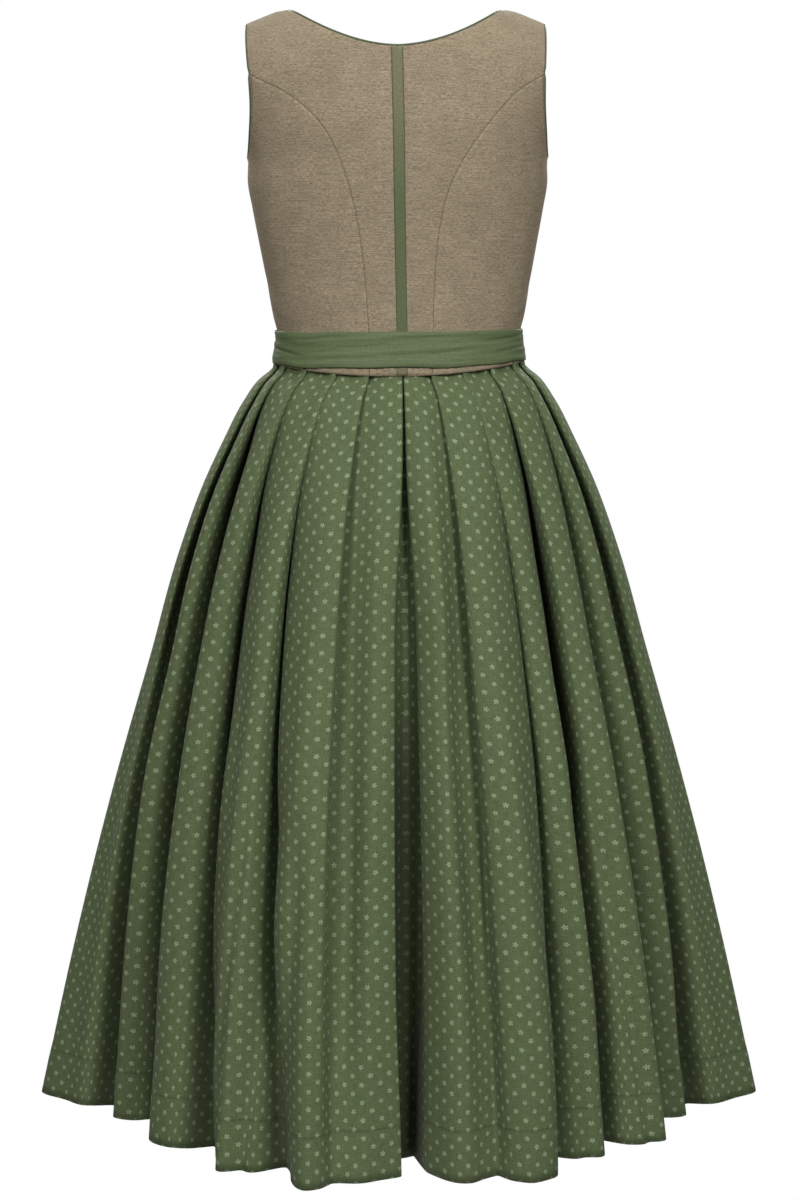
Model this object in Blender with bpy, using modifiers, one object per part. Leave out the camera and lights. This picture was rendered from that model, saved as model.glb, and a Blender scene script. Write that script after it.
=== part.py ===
"""Dirndl dress, filled out as worn, with nobody in it.

Z is up, the wearer faces -Y and the wearer's left is +X. The origin lies midway between the two
shoulder seams, at the height of their highest points. Angles run round the body from the centre back
(0 degrees) over the wearer's left side (90) to the centre front (180).
"""

import math
from collections import namedtuple

import bmesh
import bpy
from mathutils import Vector

# ---- Driving sizes, metres -------------------------------------------------------------------
SEAM = 0.0003  # gap between two pieces that are sewn together
BODICE_WALL = 0.0016
SKIRT_WALL = 0.0011
BELT_WALL = 0.0018

NECK_POINT_X = 0.118  # where the neckline meets the shoulder seam
SHOULDER_SLOPE = 0.40  # drop for each metre outwards
SHOULDER_ROUND = 0.075  # height over which the back or front curves up to the shoulder seam
BACK_NECK_DEPTH = 0.0403
FRONT_NECK_DEPTH = 0.178
UNDERARM_Z = -0.163
LEAN = 0.004  # the bodice leans this far to the wearer's left at the shoulders

WAIST_SIDE_Z = -0.381
WAIST_HALF_WIDTH = 0.138
WAIST_BACK_DIP = 0.0115
WAIST_FRONT_DIP = 0.005
WAIST_GAP = 0.0006  # the two edges follow the dipping waist seam in unlike steps
HEM_Z = -1.1985

RIBBON_WIDTH = 0.0115
PIPING_RADIUS = 0.0014
BELT_TOP_Z = -0.3461
BELT_BOTTOM_Z = -0.3802
BELT_CLEARANCE = 0.0027  # from the bodice out to the belt's inner face
BELT_OVERLAP = 0.022  # half of the overlap at the centre front
PLACKET_WIDTH = 0.020
STRIP_WALL = 0.0010
BUTTON_COUNT = 7
BUTTON_TOP_Z = -0.196
BUTTON_PITCH = 0.0222

ButtonRow = namedtuple("ButtonRow", "radius height")
BUTTON_PROFILE = (
    ButtonRow(0.0, 0.0),
    ButtonRow(0.0048, 0.0),
    ButtonRow(0.0055, 0.0008),
    ButtonRow(0.0053, 0.0018),
    ButtonRow(0.0040, 0.0024),
    ButtonRow(0.0033, 0.0017),
    ButtonRow(0.0, 0.0017),
)

LAYER = 0.0026  # from one layer of a pleat to the next, at the waist seam
UNDERLAP = 0.016  # how far a pleat's inner fold lies under its panel at the waist seam
PANEL_FLAT = 0.0185  # flat stretch of a panel before it dives under the next pleat

# Steps of the panels' grids, and the power that gathers rows at the shoulder
SHOULDER_GATHER = 1.5
PRINCESS_ROWS = 10
ARMHOLE_ROWS = 3
SHOULDER_COLUMNS = 5
SIDE_COLUMNS = 5
FRONT_CENTRE_ROWS = 6
BACK_CENTRE_ROWS = 9

# ---- Sections of the body, which are the bodice's inner face ----------------------------------
Section = namedtuple("Section", "z half_width back_depth front_depth power")
TORSO = (
    Section(0.030, 0.2034, 0.0844, 0.0564, 2.3),
    Section(-0.030, 0.1944, 0.0904, 0.0724, 2.3),
    Section(-0.080, 0.1824, 0.0984, 0.0904, 2.3),
    Section(-0.120, 0.1714, 0.1024, 0.1044, 2.3),
    Section(-0.163, 0.1606, 0.1014, 0.1144, 2.25),
    Section(-0.185, 0.1610, 0.1004, 0.1174, 2.2),
    Section(-0.210, 0.1569, 0.0979, 0.1164, 2.2),
    Section(-0.250, 0.1496, 0.0944, 0.1104, 2.15),
    Section(-0.290, 0.1422, 0.0914, 0.1034, 2.1),
    Section(-0.330, 0.1352, 0.0899, 0.0984, 2.1),
    Section(-0.347, 0.1312, 0.0894, 0.0974, 2.1),
    Section(-0.367, 0.1331, 0.0914, 0.0989, 2.1),
    Section(-0.400, 0.1404, 0.0984, 0.1054, 2.1),
)
BUST_X, BUST_Z, BUST_OUT, BUST_SPREAD = 0.076, -0.212, 0.011, 0.048

# ---- Seam lines of one side: distance from the centre line and height --------------------------
Point = namedtuple("Point", "x z")
BACK_PRINCESS = (
    Point(0.1555, -0.0728),
    Point(0.1200, -0.0935),
    Point(0.0870, -0.1265),
    Point(0.0640, -0.1640),
    Point(0.0510, -0.1970),
    Point(0.0435, -0.2300),
    Point(0.0385, -0.2700),
    Point(0.0350, -0.3200),
    Point(0.0335, -0.3920),
)
FRONT_PRINCESS = (
    Point(0.1485, -0.1050),
    Point(0.1280, -0.1350),
    Point(0.1100, -0.1650),
    Point(0.0960, -0.1910),
    Point(0.0860, -0.2160),
    Point(0.0765, -0.2500),
    Point(0.0655, -0.3000),
    Point(0.0575, -0.3450),
    Point(0.0545, -0.3860),
)
BACK_ARMHOLE_UPPER = (Point(0.1590, -0.0164), Point(0.1575, -0.0440), Point(0.1555, -0.0728))
BACK_ARMHOLE_LOWER = (
    Point(0.1555, -0.0728),
    Point(0.1550, -0.1050),
    Point(0.1570, -0.1330),
    Point(0.1598, -0.1540),
    Point(0.1622, -0.1630),
)
FRONT_ARMHOLE_UPPER = (Point(0.1590, -0.0164), Point(0.1530, -0.0550), Point(0.1485, -0.1050))
FRONT_ARMHOLE_LOWER = (
    Point(0.1485, -0.1050),
    Point(0.1495, -0.1250),
    Point(0.1535, -0.1430),
    Point(0.1585, -0.1565),
    Point(0.1622, -0.1630),
)

# ---- Skirt: flare down the drop, and one row for each pleat of a quarter ------------------------
Flare = namedtuple("Flare", "drop open")
FLARE = (
    Flare(0.0, 0.0),
    Flare(0.004, 0.001),
    Flare(0.023, 0.065),
    Flare(0.050, 0.124),
    Flare(0.104, 0.211),
    Flare(0.157, 0.288),
    Flare(0.252, 0.396),
    Flare(0.389, 0.518),
    Flare(0.527, 0.644),
    Flare(0.667, 0.761),
    Flare(0.808, 0.868),
    Flare(1.0, 1.0),
)
SKIRT_LEVELS = (0.0, 0.004, 0.03, 0.08, 0.17, 0.32, 0.52, 0.75, 1.0)

# Degrees from the centre back or centre front, and radii at the hem. A pleat is a folded edge with its
# valley on the side of the centre line, and a crest and a flank on the panel that runs to the side.
Pleat = namedtuple(
    "Pleat", "waist edge edge_r valley valley_r crest crest_r flank flank_r"
)
BACK_LEFT = (
    Pleat(-2.1, -0.8, 0.301, 4.4, 0.263, 3.6, 0.314, 8.0, 0.327),
    Pleat(19.3, 13.4, 0.350, 11.8, 0.336, 15.6, 0.358, 18.6, 0.349),
    Pleat(38.7, 30.0, 0.333, 22.7, 0.309, 33.4, 0.342, 36.4, 0.327),
    Pleat(55.8, 49.5, 0.322, 41.6, 0.295, 54.6, 0.325, 59.4, 0.312),
    Pleat(70.8, 67.5, 0.317, 63.8, 0.292, 70.4, 0.325, 72.6, 0.327),
    Pleat(80.5, 79.5, 0.361, 75.0, 0.335, 86.4, 0.4005, 90.0, 0.4025),
)
BACK_RIGHT = (
    Pleat(3.5, 5.8, 0.294, 3.3, 0.243, 12.2, 0.330, 15.6, 0.327),
    Pleat(21.0, 20.4, 0.337, 18.5, 0.322, 23.2, 0.350, 27.4, 0.347),
    Pleat(39.3, 37.6, 0.315, 32.6, 0.297, 41.4, 0.322, 44.4, 0.311),
    Pleat(55.8, 50.6, 0.318, 46.8, 0.290, 54.6, 0.338, 60.6, 0.325),
    Pleat(70.5, 69.6, 0.319, 66.2, 0.296, 71.8, 0.330, 73.4, 0.334),
    Pleat(80.5, 80.2, 0.358, 76.0, 0.337, 86.6, 0.4005, 90.0, 0.4025),
)
FRONT_LEFT = (
    Pleat(2.6, 4.6, 0.300, 2.4, 0.250, 10.4, 0.330, 14.0, 0.329),
    Pleat(20.5, 19.4, 0.341, 16.6, 0.322, 22.8, 0.352, 26.2, 0.345),
    Pleat(38.5, 36.2, 0.322, 30.8, 0.300, 40.2, 0.331, 43.6, 0.320),
    Pleat(55.0, 51.4, 0.322, 47.2, 0.296, 55.4, 0.337, 60.2, 0.323),
    Pleat(69.5, 68.6, 0.322, 64.8, 0.297, 71.2, 0.333, 73.6, 0.336),
    Pleat(80.0, 79.8, 0.360, 75.8, 0.339, 86.4, 0.4005, 90.0, 0.4025),
)
FRONT_RIGHT = (
    Pleat(2.6, 4.4, 0.302, 2.2, 0.250, 8.8, 0.326, 12.4, 0.333),
    Pleat(19.8, 16.6, 0.347, 14.6, 0.331, 19.0, 0.356, 22.4, 0.347),
    Pleat(38.0, 32.8, 0.330, 27.0, 0.305, 36.4, 0.340, 39.8, 0.327),
    Pleat(54.5, 50.2, 0.322, 44.0, 0.295, 54.8, 0.329, 59.4, 0.315),
    Pleat(69.5, 67.8, 0.319, 64.0, 0.294, 70.8, 0.328, 73.0, 0.331),
    Pleat(80.0, 79.6, 0.360, 75.2, 0.337, 86.4, 0.4005, 90.0, 0.4025),
)
CENTRE_BACK_HEM = (-2.0, 0.243)  # degrees and radius of the middle of the centre-back underlay
CENTRE_FRONT_HEM = (0.0, 0.250)


# ---- Curves and tables ------------------------------------------------------------------------
def mix(a, b, share):
    return a + (b - a) * share


def smoothstep(low, high, value):
    share = min(1.0, max(0.0, (value - low) / (high - low)))
    return share * share * (3 - 2 * share)


def slopes(keys, values):
    """Tangent at each row, so that a curve through the rows has no kink."""
    steps = [(v - u) / (b - a) for a, b, u, v in zip(keys, keys[1:], values, values[1:])]
    middle = [
        (steps[i] * (keys[i + 2] - keys[i + 1]) + steps[i + 1] * (keys[i + 1] - keys[i]))
        / (keys[i + 2] - keys[i])
        for i in range(len(steps) - 1)
    ]
    return [steps[0], *middle, steps[-1]]


def through(keys, values, at):
    """Smooth curve through (key, value) rows with rising keys, read at one key."""
    at = min(max(at, keys[0]), keys[-1])
    row = max(i for i in range(len(keys) - 1) if keys[i] <= at)
    tangents = slopes(keys, values)
    width = keys[row + 1] - keys[row]
    t = (at - keys[row]) / width
    return (
        values[row] * (1 + 2 * t) * (1 - t) ** 2
        + values[row + 1] * t * t * (3 - 2 * t)
        + width * tangents[row] * t * (1 - t) ** 2
        - width * tangents[row + 1] * t * t * (1 - t)
    )


def seam_points(rows, count, gather=1.0):
    """(x, z) pairs on the smooth curve through a seam's rows, closer at the start when gather is over 1."""
    keys = [0.0]
    for a, b in zip(rows, rows[1:]):
        keys.append(keys[-1] + math.hypot(b.x - a.x, b.z - a.z))
    xs = [row.x for row in rows]
    zs = [row.z for row in rows]
    ats = [keys[-1] * (i / count) ** gather for i in range(count + 1)]
    return [Point(through(keys, xs, at), through(keys, zs, at)) for at in ats]


def moved_aside(points, distance):
    """The same seam line, moved sideways in the (x, z) plane, with its ends kept on their edges."""
    moved = []
    for i, point in enumerate(points):
        before = points[max(i - 1, 0)]
        after = points[min(i + 1, len(points) - 1)]
        dx, dz = after.x - before.x, after.z - before.z
        length = math.hypot(dx, dz)
        moved.append(Point(point.x - distance * dz / length, point.z + distance * dx / length))
    return moved


def section(z):
    rows = TORSO[::-1]
    keys = [row.z for row in rows]
    values = [through(keys, [row[i] for row in rows], z) for i in range(1, 5)]
    return Section(z, *values)


# ---- The body's surface -----------------------------------------------------------------------
def lean(z):
    return LEAN * min(1.0, max(0.0, 1 + z / 0.35))


def bust(x, z):
    across = (abs(x) - BUST_X) / BUST_SPREAD
    along = (z - BUST_Z) / BUST_SPREAD
    return BUST_OUT * math.exp(-across * across - along * along)


def torso(angle, z):
    """Point of the bodice's inner face, at an angle in radians and a height."""
    row = section(z)
    sine, cosine = math.sin(angle), math.cos(angle)
    x = math.copysign(abs(sine) ** (2 / row.power), sine) * row.half_width
    ridge = -SHOULDER_SLOPE * (abs(x) - NECK_POINT_X)
    risen = min(1.0, max(0.0, (ridge - z) / SHOULDER_ROUND))
    depth = row.back_depth if cosine > 0 else row.front_depth + bust(x, z)
    depth *= math.sqrt(1 - (1 - risen) ** 2)
    y = math.copysign(abs(cosine) ** (2 / row.power) * depth + SEAM, cosine)
    return Vector((x + lean(z), y, z))


def outward(angle, z):
    """Unit normal of the body's surface."""
    step = 0.002
    around = torso(angle + step, z) - torso(angle - step, z)
    up = torso(angle, z + step) - torso(angle, z - step)
    return up.cross(around).normalized()


def torso_out(angle, z, distance):
    return torso(angle, z) + outward(angle, z) * distance


def angle_at(x, z, front=False):
    """The angle at which the surface is a distance x from the centre plane."""
    row = section(z)
    sine = min(1.0, abs(x) / row.half_width) ** (row.power / 2)
    angle = math.copysign(math.asin(sine), x)
    return math.pi - angle if front else angle


def waist_seam(x, front):
    """Height of the waist seam at a distance from the centre plane."""
    dip = WAIST_FRONT_DIP if front else WAIST_BACK_DIP
    return WAIST_SIDE_Z - dip * max(0.0, 1 - (x / WAIST_HALF_WIDTH) ** 2)


def waist_at(angle):
    """Height of the waist seam at an angle round the bodice."""
    return waist_seam(torso(angle, WAIST_SIDE_Z).x, math.cos(angle) < 0)


def back_neck(x):
    return -BACK_NECK_DEPTH * (1 - min(1.0, abs(x) / NECK_POINT_X) ** 1.9)


def front_neck(x):
    return -FRONT_NECK_DEPTH * (1 - min(1.0, abs(x) / NECK_POINT_X) ** 2.2) ** 0.5


# ---- Making objects ---------------------------------------------------------------------------
def clear_scene():
    for obj in list(bpy.data.objects):
        bpy.data.objects.remove(obj, do_unlink=True)


def new_collection(name):
    collection = bpy.data.collections.new(name)
    bpy.context.scene.collection.children.link(collection)
    return collection


def material(name, colour, roughness, metallic=0.0):
    made = bpy.data.materials.new(name)
    made.use_nodes = True
    shader = made.node_tree.nodes["Principled BSDF"]
    shader.inputs["Base Color"].default_value = (*colour, 1.0)
    shader.inputs["Roughness"].default_value = roughness
    shader.inputs["Metallic"].default_value = metallic
    return made


def linen(name):
    return material(name + "_linen", (0.262, 0.213, 0.147), 0.85)


def add_object(name, mesh, finish, collection):
    obj = bpy.data.objects.new(name, mesh)
    obj.data.materials.append(finish)
    collection.objects.link(obj)
    return obj


def cloth(name, rows, wall, side, finish, collection):
    """A wall on a grid of points, rows from the bottom up. Side 1 thickens outwards, 0 both ways."""
    mesh = bpy.data.meshes.new(name)
    shape = bmesh.new()
    across, along = len(rows[0]) - 1, len(rows) - 1
    bmesh.ops.create_grid(shape, x_segments=across, y_segments=along, size=1.0)
    for vertex in shape.verts:
        column = round((vertex.co.x + 1) / 2 * across)
        row = round((vertex.co.y + 1) / 2 * along)
        vertex.co = rows[row][column]
    shape.normal_update()
    facing = sum(face.normal.xy.dot(face.calc_center_median().xy) for face in shape.faces)
    if facing < 0:
        bmesh.ops.reverse_faces(shape, faces=shape.faces)
    shape.to_mesh(mesh)
    shape.free()
    obj = add_object(name, mesh, finish, collection)
    thicken = obj.modifiers.new("wall", "SOLIDIFY")
    thicken.thickness = wall
    thicken.offset = side
    thicken.use_even_offset = side == 0
    thicken.use_quality_normals = True
    return obj


# ---- Bodice -----------------------------------------------------------------------------------
def coons(left, right, bottom, top):
    """Rows of pairs, bottom up, between four edges of pairs that meet at their ends."""
    rows = []
    for j in range(len(left)):
        v = j / (len(left) - 1)
        row = []
        for i in range(len(bottom)):
            u = i / (len(bottom) - 1)
            pair = []
            for k in range(2):
                ruled = mix(bottom[i][k], top[i][k], v) + mix(left[j][k], right[j][k], u)
                corners = mix(mix(bottom[0][k], bottom[-1][k], u), mix(top[0][k], top[-1][k], u), v)
                pair.append(ruled - corners)
            row.append(tuple(pair))
        rows.append(row)
    return rows


def on_surface(rows, mirrored):
    """Places rows of (angle, z) pairs on the body, on the wearer's left, or right when mirrored."""
    return [[torso(-angle if mirrored else angle, z) for angle, z in row] for row in rows]


def edge(points, front):
    return [(angle_at(point.x, point.z, front), point.z) for point in points]


def waist_edge(start, end, count):
    """(angle, z) pairs along the waist seam."""
    angles = [mix(start, end, i / count) for i in range(count + 1)]
    return [(angle, waist_at(angle)) for angle in angles]


def centre_line(x, count, front):
    """(angle, z) pairs up a panel's centre edge, from the waist seam to the neckline."""
    low = waist_at(math.pi if front else 0.0)
    high = front_neck(x) if front else back_neck(x)
    heights = [mix(low, high, i / count) for i in range(count + 1)]
    return [(angle_at(x, z, front), z) for z in heights]


def outer_edge(princess, armhole, front):
    """(angle, z) pairs up a centre panel's princess seam and armhole, from the waist seam."""
    seam = moved_aside(seam_points(princess, PRINCESS_ROWS), -SEAM / 2)
    upper = seam_points(armhole, ARMHOLE_ROWS, SHOULDER_GATHER)
    pairs = edge(seam[::-1] + upper[::-1][1:], front)
    pairs[0] = (pairs[0][0], waist_at(pairs[0][0]))
    return pairs


def shoulder_edge(tip, front):
    """(angle, z) pairs along the shoulder seam, from the neck point out to the tip."""
    shares = [i / SHOULDER_COLUMNS for i in range(SHOULDER_COLUMNS + 1)]
    points = [Point(mix(NECK_POINT_X, tip.x, share), tip.z * share) for share in shares]
    return edge(points, front)


def neckline(front):
    """Points of the neckline from the centre up to the neck point, closer at the shoulder."""
    turns = [math.pi / 2 * i / 60 for i in range(61)]
    xs = [max(NECK_POINT_X * math.sin(turn), SEAM / 2) for turn in turns]
    shape = front_neck if front else back_neck
    count = PRINCESS_ROWS + ARMHOLE_ROWS - (FRONT_CENTRE_ROWS if front else BACK_CENTRE_ROWS)
    return seam_points([Point(x, shape(x)) for x in reversed(xs)], count, SHOULDER_GATHER)[::-1]


def centre_panel(princess, armhole, front):
    """Rows from the centre line and the neckline out, with the shoulder seam along the top."""
    right = outer_edge(princess, armhole, front)
    top = shoulder_edge(armhole[0], front)
    top[-1] = right[-1]
    left = centre_line(SEAM / 2, FRONT_CENTRE_ROWS if front else BACK_CENTRE_ROWS, front)
    left += edge(neckline(front)[1:], front)
    left[-1] = top[0]
    bottom = waist_edge(left[0][0], right[0][0], SHOULDER_COLUMNS)
    left[0] = bottom[0]
    return coons(left, right, bottom, top)


def side_panel(princess, armhole, front):
    """(angle, z) rows of a side panel of one side, from its princess seam to the side seam."""
    seam = moved_aside(seam_points(princess, PRINCESS_ROWS), SEAM / 2)
    left = edge(seam[::-1], front)
    bottom = waist_edge(left[0][0], math.pi / 2, SIDE_COLUMNS)
    top = edge(seam_points(armhole, SIDE_COLUMNS), front)
    top[0] = left[-1]
    top[-1] = (math.pi / 2, UNDERARM_Z)
    left[0] = bottom[0]
    right = [
        (math.pi / 2, mix(bottom[-1][1], UNDERARM_Z, i / PRINCESS_ROWS))
        for i in range(PRINCESS_ROWS + 1)
    ]
    return coons(left, right, bottom, top)


def build_bodice(collection):
    panels = {
        "back_centre": centre_panel(BACK_PRINCESS, BACK_ARMHOLE_UPPER, False),
        "back_side": side_panel(BACK_PRINCESS, BACK_ARMHOLE_LOWER, False),
        "front_side": side_panel(FRONT_PRINCESS, FRONT_ARMHOLE_LOWER, True),
        "front_centre": centre_panel(FRONT_PRINCESS, FRONT_ARMHOLE_UPPER, True),
    }
    grids = {}
    for panel, pairs in panels.items():
        for side in ("left", "right"):
            rows = on_surface(pairs, side == "right")
            name = "bodice_%s_%s" % (panel, side)
            cloth(name, rows, BODICE_WALL, 1, linen(name), collection)
            grids[panel, side] = rows
    return grids


# ---- Ribbon, piping, belt and buttons -----------------------------------------------------------
def build_strip(name, width, count, halves, finish, collection):
    """A strip sewn flat over a centre seam, made from the rows of the two panels it covers."""
    out = BODICE_WALL + 2 * SEAM
    rows = []
    for j in range(count + 1):
        row = []
        for half in halves:
            start, after = half[j][0], half[j][1]
            share = width / 2 / (after - start).length
            row.append(start.lerp(after, share))
        row.insert(1, (halves[0][j][0] + halves[1][j][0]) / 2)
        front = row[1].y < 0
        normals = [outward(angle_at(point.x - lean(point.z), point.z, front), point.z) for point in row]
        rows.append([point + normal * out for point, normal in zip(row, normals)])
    for row, up in ((rows[0], SEAM), (rows[-1], -SEAM)):
        for point in row:
            point.z += up
    cloth(name, rows, STRIP_WALL, 1, finish, collection)


def build_strips(grids, collection):
    green = material("ribbon_grosgrain", (0.125, 0.137, 0.082), 0.6)
    back = (grids["back_centre", "left"], grids["back_centre", "right"])
    front = (grids["front_centre", "left"], grids["front_centre", "right"])
    build_strip("back_ribbon", RIBBON_WIDTH, BACK_CENTRE_ROWS, back, green, collection)
    placket = linen("front_placket")
    build_strip("front_placket", PLACKET_WIDTH, FRONT_CENTRE_ROWS, front, placket, collection)


def rim(edge_points, inner_points):
    """Centres of the piping that runs beside an edge, given the panel's points just inside it."""
    centres = []
    last = len(edge_points) - 1
    for i, (point, inner) in enumerate(zip(edge_points, inner_points)):
        along = (edge_points[min(i + 1, last)] - edge_points[max(i - 1, 0)]).normalized()
        away = point - inner
        away = (away - along * away.dot(along)).normalized()
        normal = along.cross(away).normalized()
        if normal.dot(point - Vector((lean(point.z), 0.0, point.z - 0.06))) < 0:
            normal.negate()
        centres.append(point + normal * BODICE_WALL / 2 + away * (PIPING_RADIUS + SEAM))
    return centres


def beside_shoulder(point, towards_neck):
    """Centre of the piping where it crosses the shoulder seam."""
    out = math.copysign(PIPING_RADIUS + SEAM, point.x) * (-1 if towards_neck else 1)
    return Vector((point.x + out, 0.0, point.z + BODICE_WALL / 2))


def tube(name, points, closed, finish, collection):
    curve = bpy.data.curves.new(name, "CURVE")
    curve.dimensions = "3D"
    curve.bevel_depth = PIPING_RADIUS
    curve.bevel_resolution = 1
    curve.use_fill_caps = not closed
    spline = curve.splines.new("POLY")
    spline.points.add(len(points) - 1)
    for place, point in zip(spline.points, points):
        place.co = (*point, 1.0)
    spline.use_cyclic_u = closed
    return add_object(name, curve, finish, collection)


def neck_rims(grids, side):
    """Piping centres of one side: up the front neckline, then down the back one to the centre."""
    front = grids["front_centre", side][FRONT_CENTRE_ROWS:-1]
    back = grids["back_centre", side][BACK_CENTRE_ROWS:]
    up = rim([row[0] for row in front], [row[1] for row in front])
    down = rim([row[0] for row in back[-2::-1]], [row[1] for row in back[-2::-1]])
    return [*up, beside_shoulder(back[-1][0], True), *down]


def armhole_ring(grids, side):
    """Piping centres all round an armhole, from the shoulder tip down the back and up the front."""
    ring = [beside_shoulder(grids["back_centre", side][-1][-1], False)]
    halves = []
    for half in ("back", "front"):
        upper = grids[half + "_centre", side][PRINCESS_ROWS + 1 : -1]
        lower = grids[half + "_side", side]
        down = [row[-1] for row in reversed(upper)] + lower[-1][:-1]
        inner = [row[-2] for row in reversed(upper)] + lower[-2][:-1]
        halves.append(rim(down, inner))
    pit = torso(math.copysign(math.pi / 2, ring[0].x), UNDERARM_Z)
    mid_wall = math.copysign(BODICE_WALL / 2, pit.x)
    bottom = Vector((pit.x + mid_wall, 0.0, pit.z + PIPING_RADIUS + SEAM))
    return ring + halves[0] + [bottom] + halves[1][::-1]


def build_piping(grids, collection):
    green = material("piping_satin", (0.096, 0.125, 0.066), 0.5)
    left, right = neck_rims(grids, "left"), neck_rims(grids, "right")
    centre_back = (left[-1] + right[-1]) / 2
    route = left[:-1] + [centre_back] + right[-2::-1]
    tube("neck_piping", route, False, green, collection)
    for side in ("left", "right"):
        tube("armhole_piping_" + side, armhole_ring(grids, side), True, green, collection)


def build_belt(collection):
    green = material("belt_taffeta", (0.114, 0.147, 0.078), 0.45)
    count, half_turn = 44, math.pi
    row = section(BELT_TOP_Z)
    extra = BELT_OVERLAP / row.front_depth
    heights = ((0.0, 0.0), (0.5, 0.0012), (1.0, 0.0))
    rows = []
    for share, swell in heights:
        points = []
        for i in range(count + 1):
            angle = mix(-half_turn - extra, half_turn + extra, i / count)
            dip = 0.002 * max(0.0, math.cos(angle))
            z = mix(BELT_BOTTOM_Z - dip, BELT_TOP_Z, share)
            lap = smoothstep(half_turn - extra * 1.9, half_turn - extra * 1.25, angle)
            out = BODICE_WALL + BELT_CLEARANCE + swell + lap * (BELT_WALL + 0.0006)
            points.append(torso_out(angle, z, out))
        rows.append(points)
    cloth("belt", rows, BELT_WALL, 1, green, collection)


def build_buttons(collection):
    """Small dished buttons down the centre front."""
    for number in range(BUTTON_COUNT):
        z = BUTTON_TOP_Z - BUTTON_PITCH * number
        name = "front_button_%d" % (number + 1)
        mesh = bpy.data.meshes.new(name)
        shape = bmesh.new()
        points = [shape.verts.new((row.radius, 0.0, row.height)) for row in BUTTON_PROFILE]
        for a, b in zip(points, points[1:]):
            shape.edges.new((a, b))
        shape.to_mesh(mesh)
        shape.free()
        horn = material(name + "_horn", (0.085, 0.052, 0.030), 0.35)
        obj = add_object(name, mesh, horn, collection)
        spin = obj.modifiers.new("turned", "SCREW")
        spin.steps = spin.render_steps = 16
        spin.use_merge_vertices = True
        spin.merge_threshold = 0.00001
        spin.use_normal_flip = True
        facing = outward(math.pi, z)
        lift = BODICE_WALL + 2 * SEAM + STRIP_WALL + SEAM + 0.0004
        obj.rotation_mode = "QUATERNION"
        obj.rotation_quaternion = facing.to_track_quat("Z", "Y")
        obj.location = torso_out(math.pi, z, lift)


# ---- Skirt ------------------------------------------------------------------------------------
Column = namedtuple("Column", "waist offset depth edge edge_r hem hem_r")


def polar(angle, radius, z):
    """A point at an angle round the body, in radians."""
    return Vector((radius * math.sin(angle), radius * math.cos(angle), z))


def waist_radius(angle):
    """Distance from the body's axis to the bodice's outer face at the waist seam."""
    row = section(WAIST_SIDE_Z)
    depth = row.back_depth if math.cos(angle) > 0 else row.front_depth
    along = abs(math.sin(angle)) / row.half_width
    deep = abs(math.cos(angle)) / depth
    return (along ** row.power + deep ** row.power) ** (-1 / row.power) + BODICE_WALL


def quarter_columns(pleats, centre_hem, front):
    """Columns of one quarter from its centre line to its side, in degrees from the centre line."""
    first = pleats[0]
    centre = (0.0, 0.0) if front else (first.waist, first.edge)
    columns = [Column(centre[0], 0.0, 2 * LAYER, centre[1], first.edge_r, *centre_hem)]
    for here, after in zip(pleats, (*pleats[1:], None)):
        valley = (here.valley, here.valley_r)
        half_way = (mix(here.valley, here.edge, 0.55), mix(here.valley_r, here.edge_r, 0.62))
        turn = math.radians((after.waist if after else 90.0) - here.waist)
        start = math.radians(here.waist)
        pitch = turn * waist_radius(math.pi - start if front else start)
        under = min(UNDERLAP, pitch - 0.0065)
        flat = min(PANEL_FLAT, pitch - 0.0045)
        states = (
            (under + 0.0004, 2 * LAYER, *valley),
            (under, LAYER, mix(here.valley, here.edge, 0.12), mix(here.valley_r, here.edge_r, 0.10)),
            (0.0003, LAYER, *half_way),
            (0.0, 0.0, here.edge, here.edge_r),
            (flat, 0.0, here.crest, here.crest_r),
            (pitch - 0.002, 2 * LAYER, here.flank, here.flank_r),
        )
        for offset, depth, hem, hem_r in states:
            columns.append(Column(here.waist, offset, depth, here.edge, here.edge_r, hem, hem_r))
    last = pleats[-1]
    near_side = mix(last.waist, 90.0, 0.8)
    columns[-2] = Column(near_side, 0.0, 0.0, last.crest, last.crest_r, last.crest, last.crest_r)
    columns[-1] = Column(90.0, 0.0, 0.0, 90.0, last.flank_r, 90.0, last.flank_r)
    return columns


def skirt_point(column, drop, side, front):
    """A column's point at a share of the drop. Side is 1 for the wearer's left, -1 for the right."""
    spread = through([row.drop for row in FLARE], [row.open for row in FLARE], drop)
    opening = drop ** 1.2

    def world(degrees):
        angle = math.radians(degrees)
        return side * (math.pi - angle) if front else side * angle

    edge_degrees = mix(column.waist, column.edge, spread)
    edge_r = mix(waist_radius(world(column.waist)), column.edge_r, spread)
    closed = edge_degrees + math.degrees(column.offset / edge_r)
    degrees = mix(closed, edge_degrees + column.hem - column.edge, opening)
    inset = mix(column.depth, column.edge_r - column.hem_r, opening)
    turned = world(degrees)
    waist_x = waist_radius(turned) * math.sin(turned)
    z = mix(waist_seam(waist_x, front) - WAIST_GAP, HEM_Z, drop)
    return polar(turned, edge_r - inset, z)


def skirt_rows(columns_and_sides):
    rows = []
    for drop in reversed(SKIRT_LEVELS):
        rows.append([skirt_point(column, drop, side, front) for column, side, front in columns_and_sides])
    return rows


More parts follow.
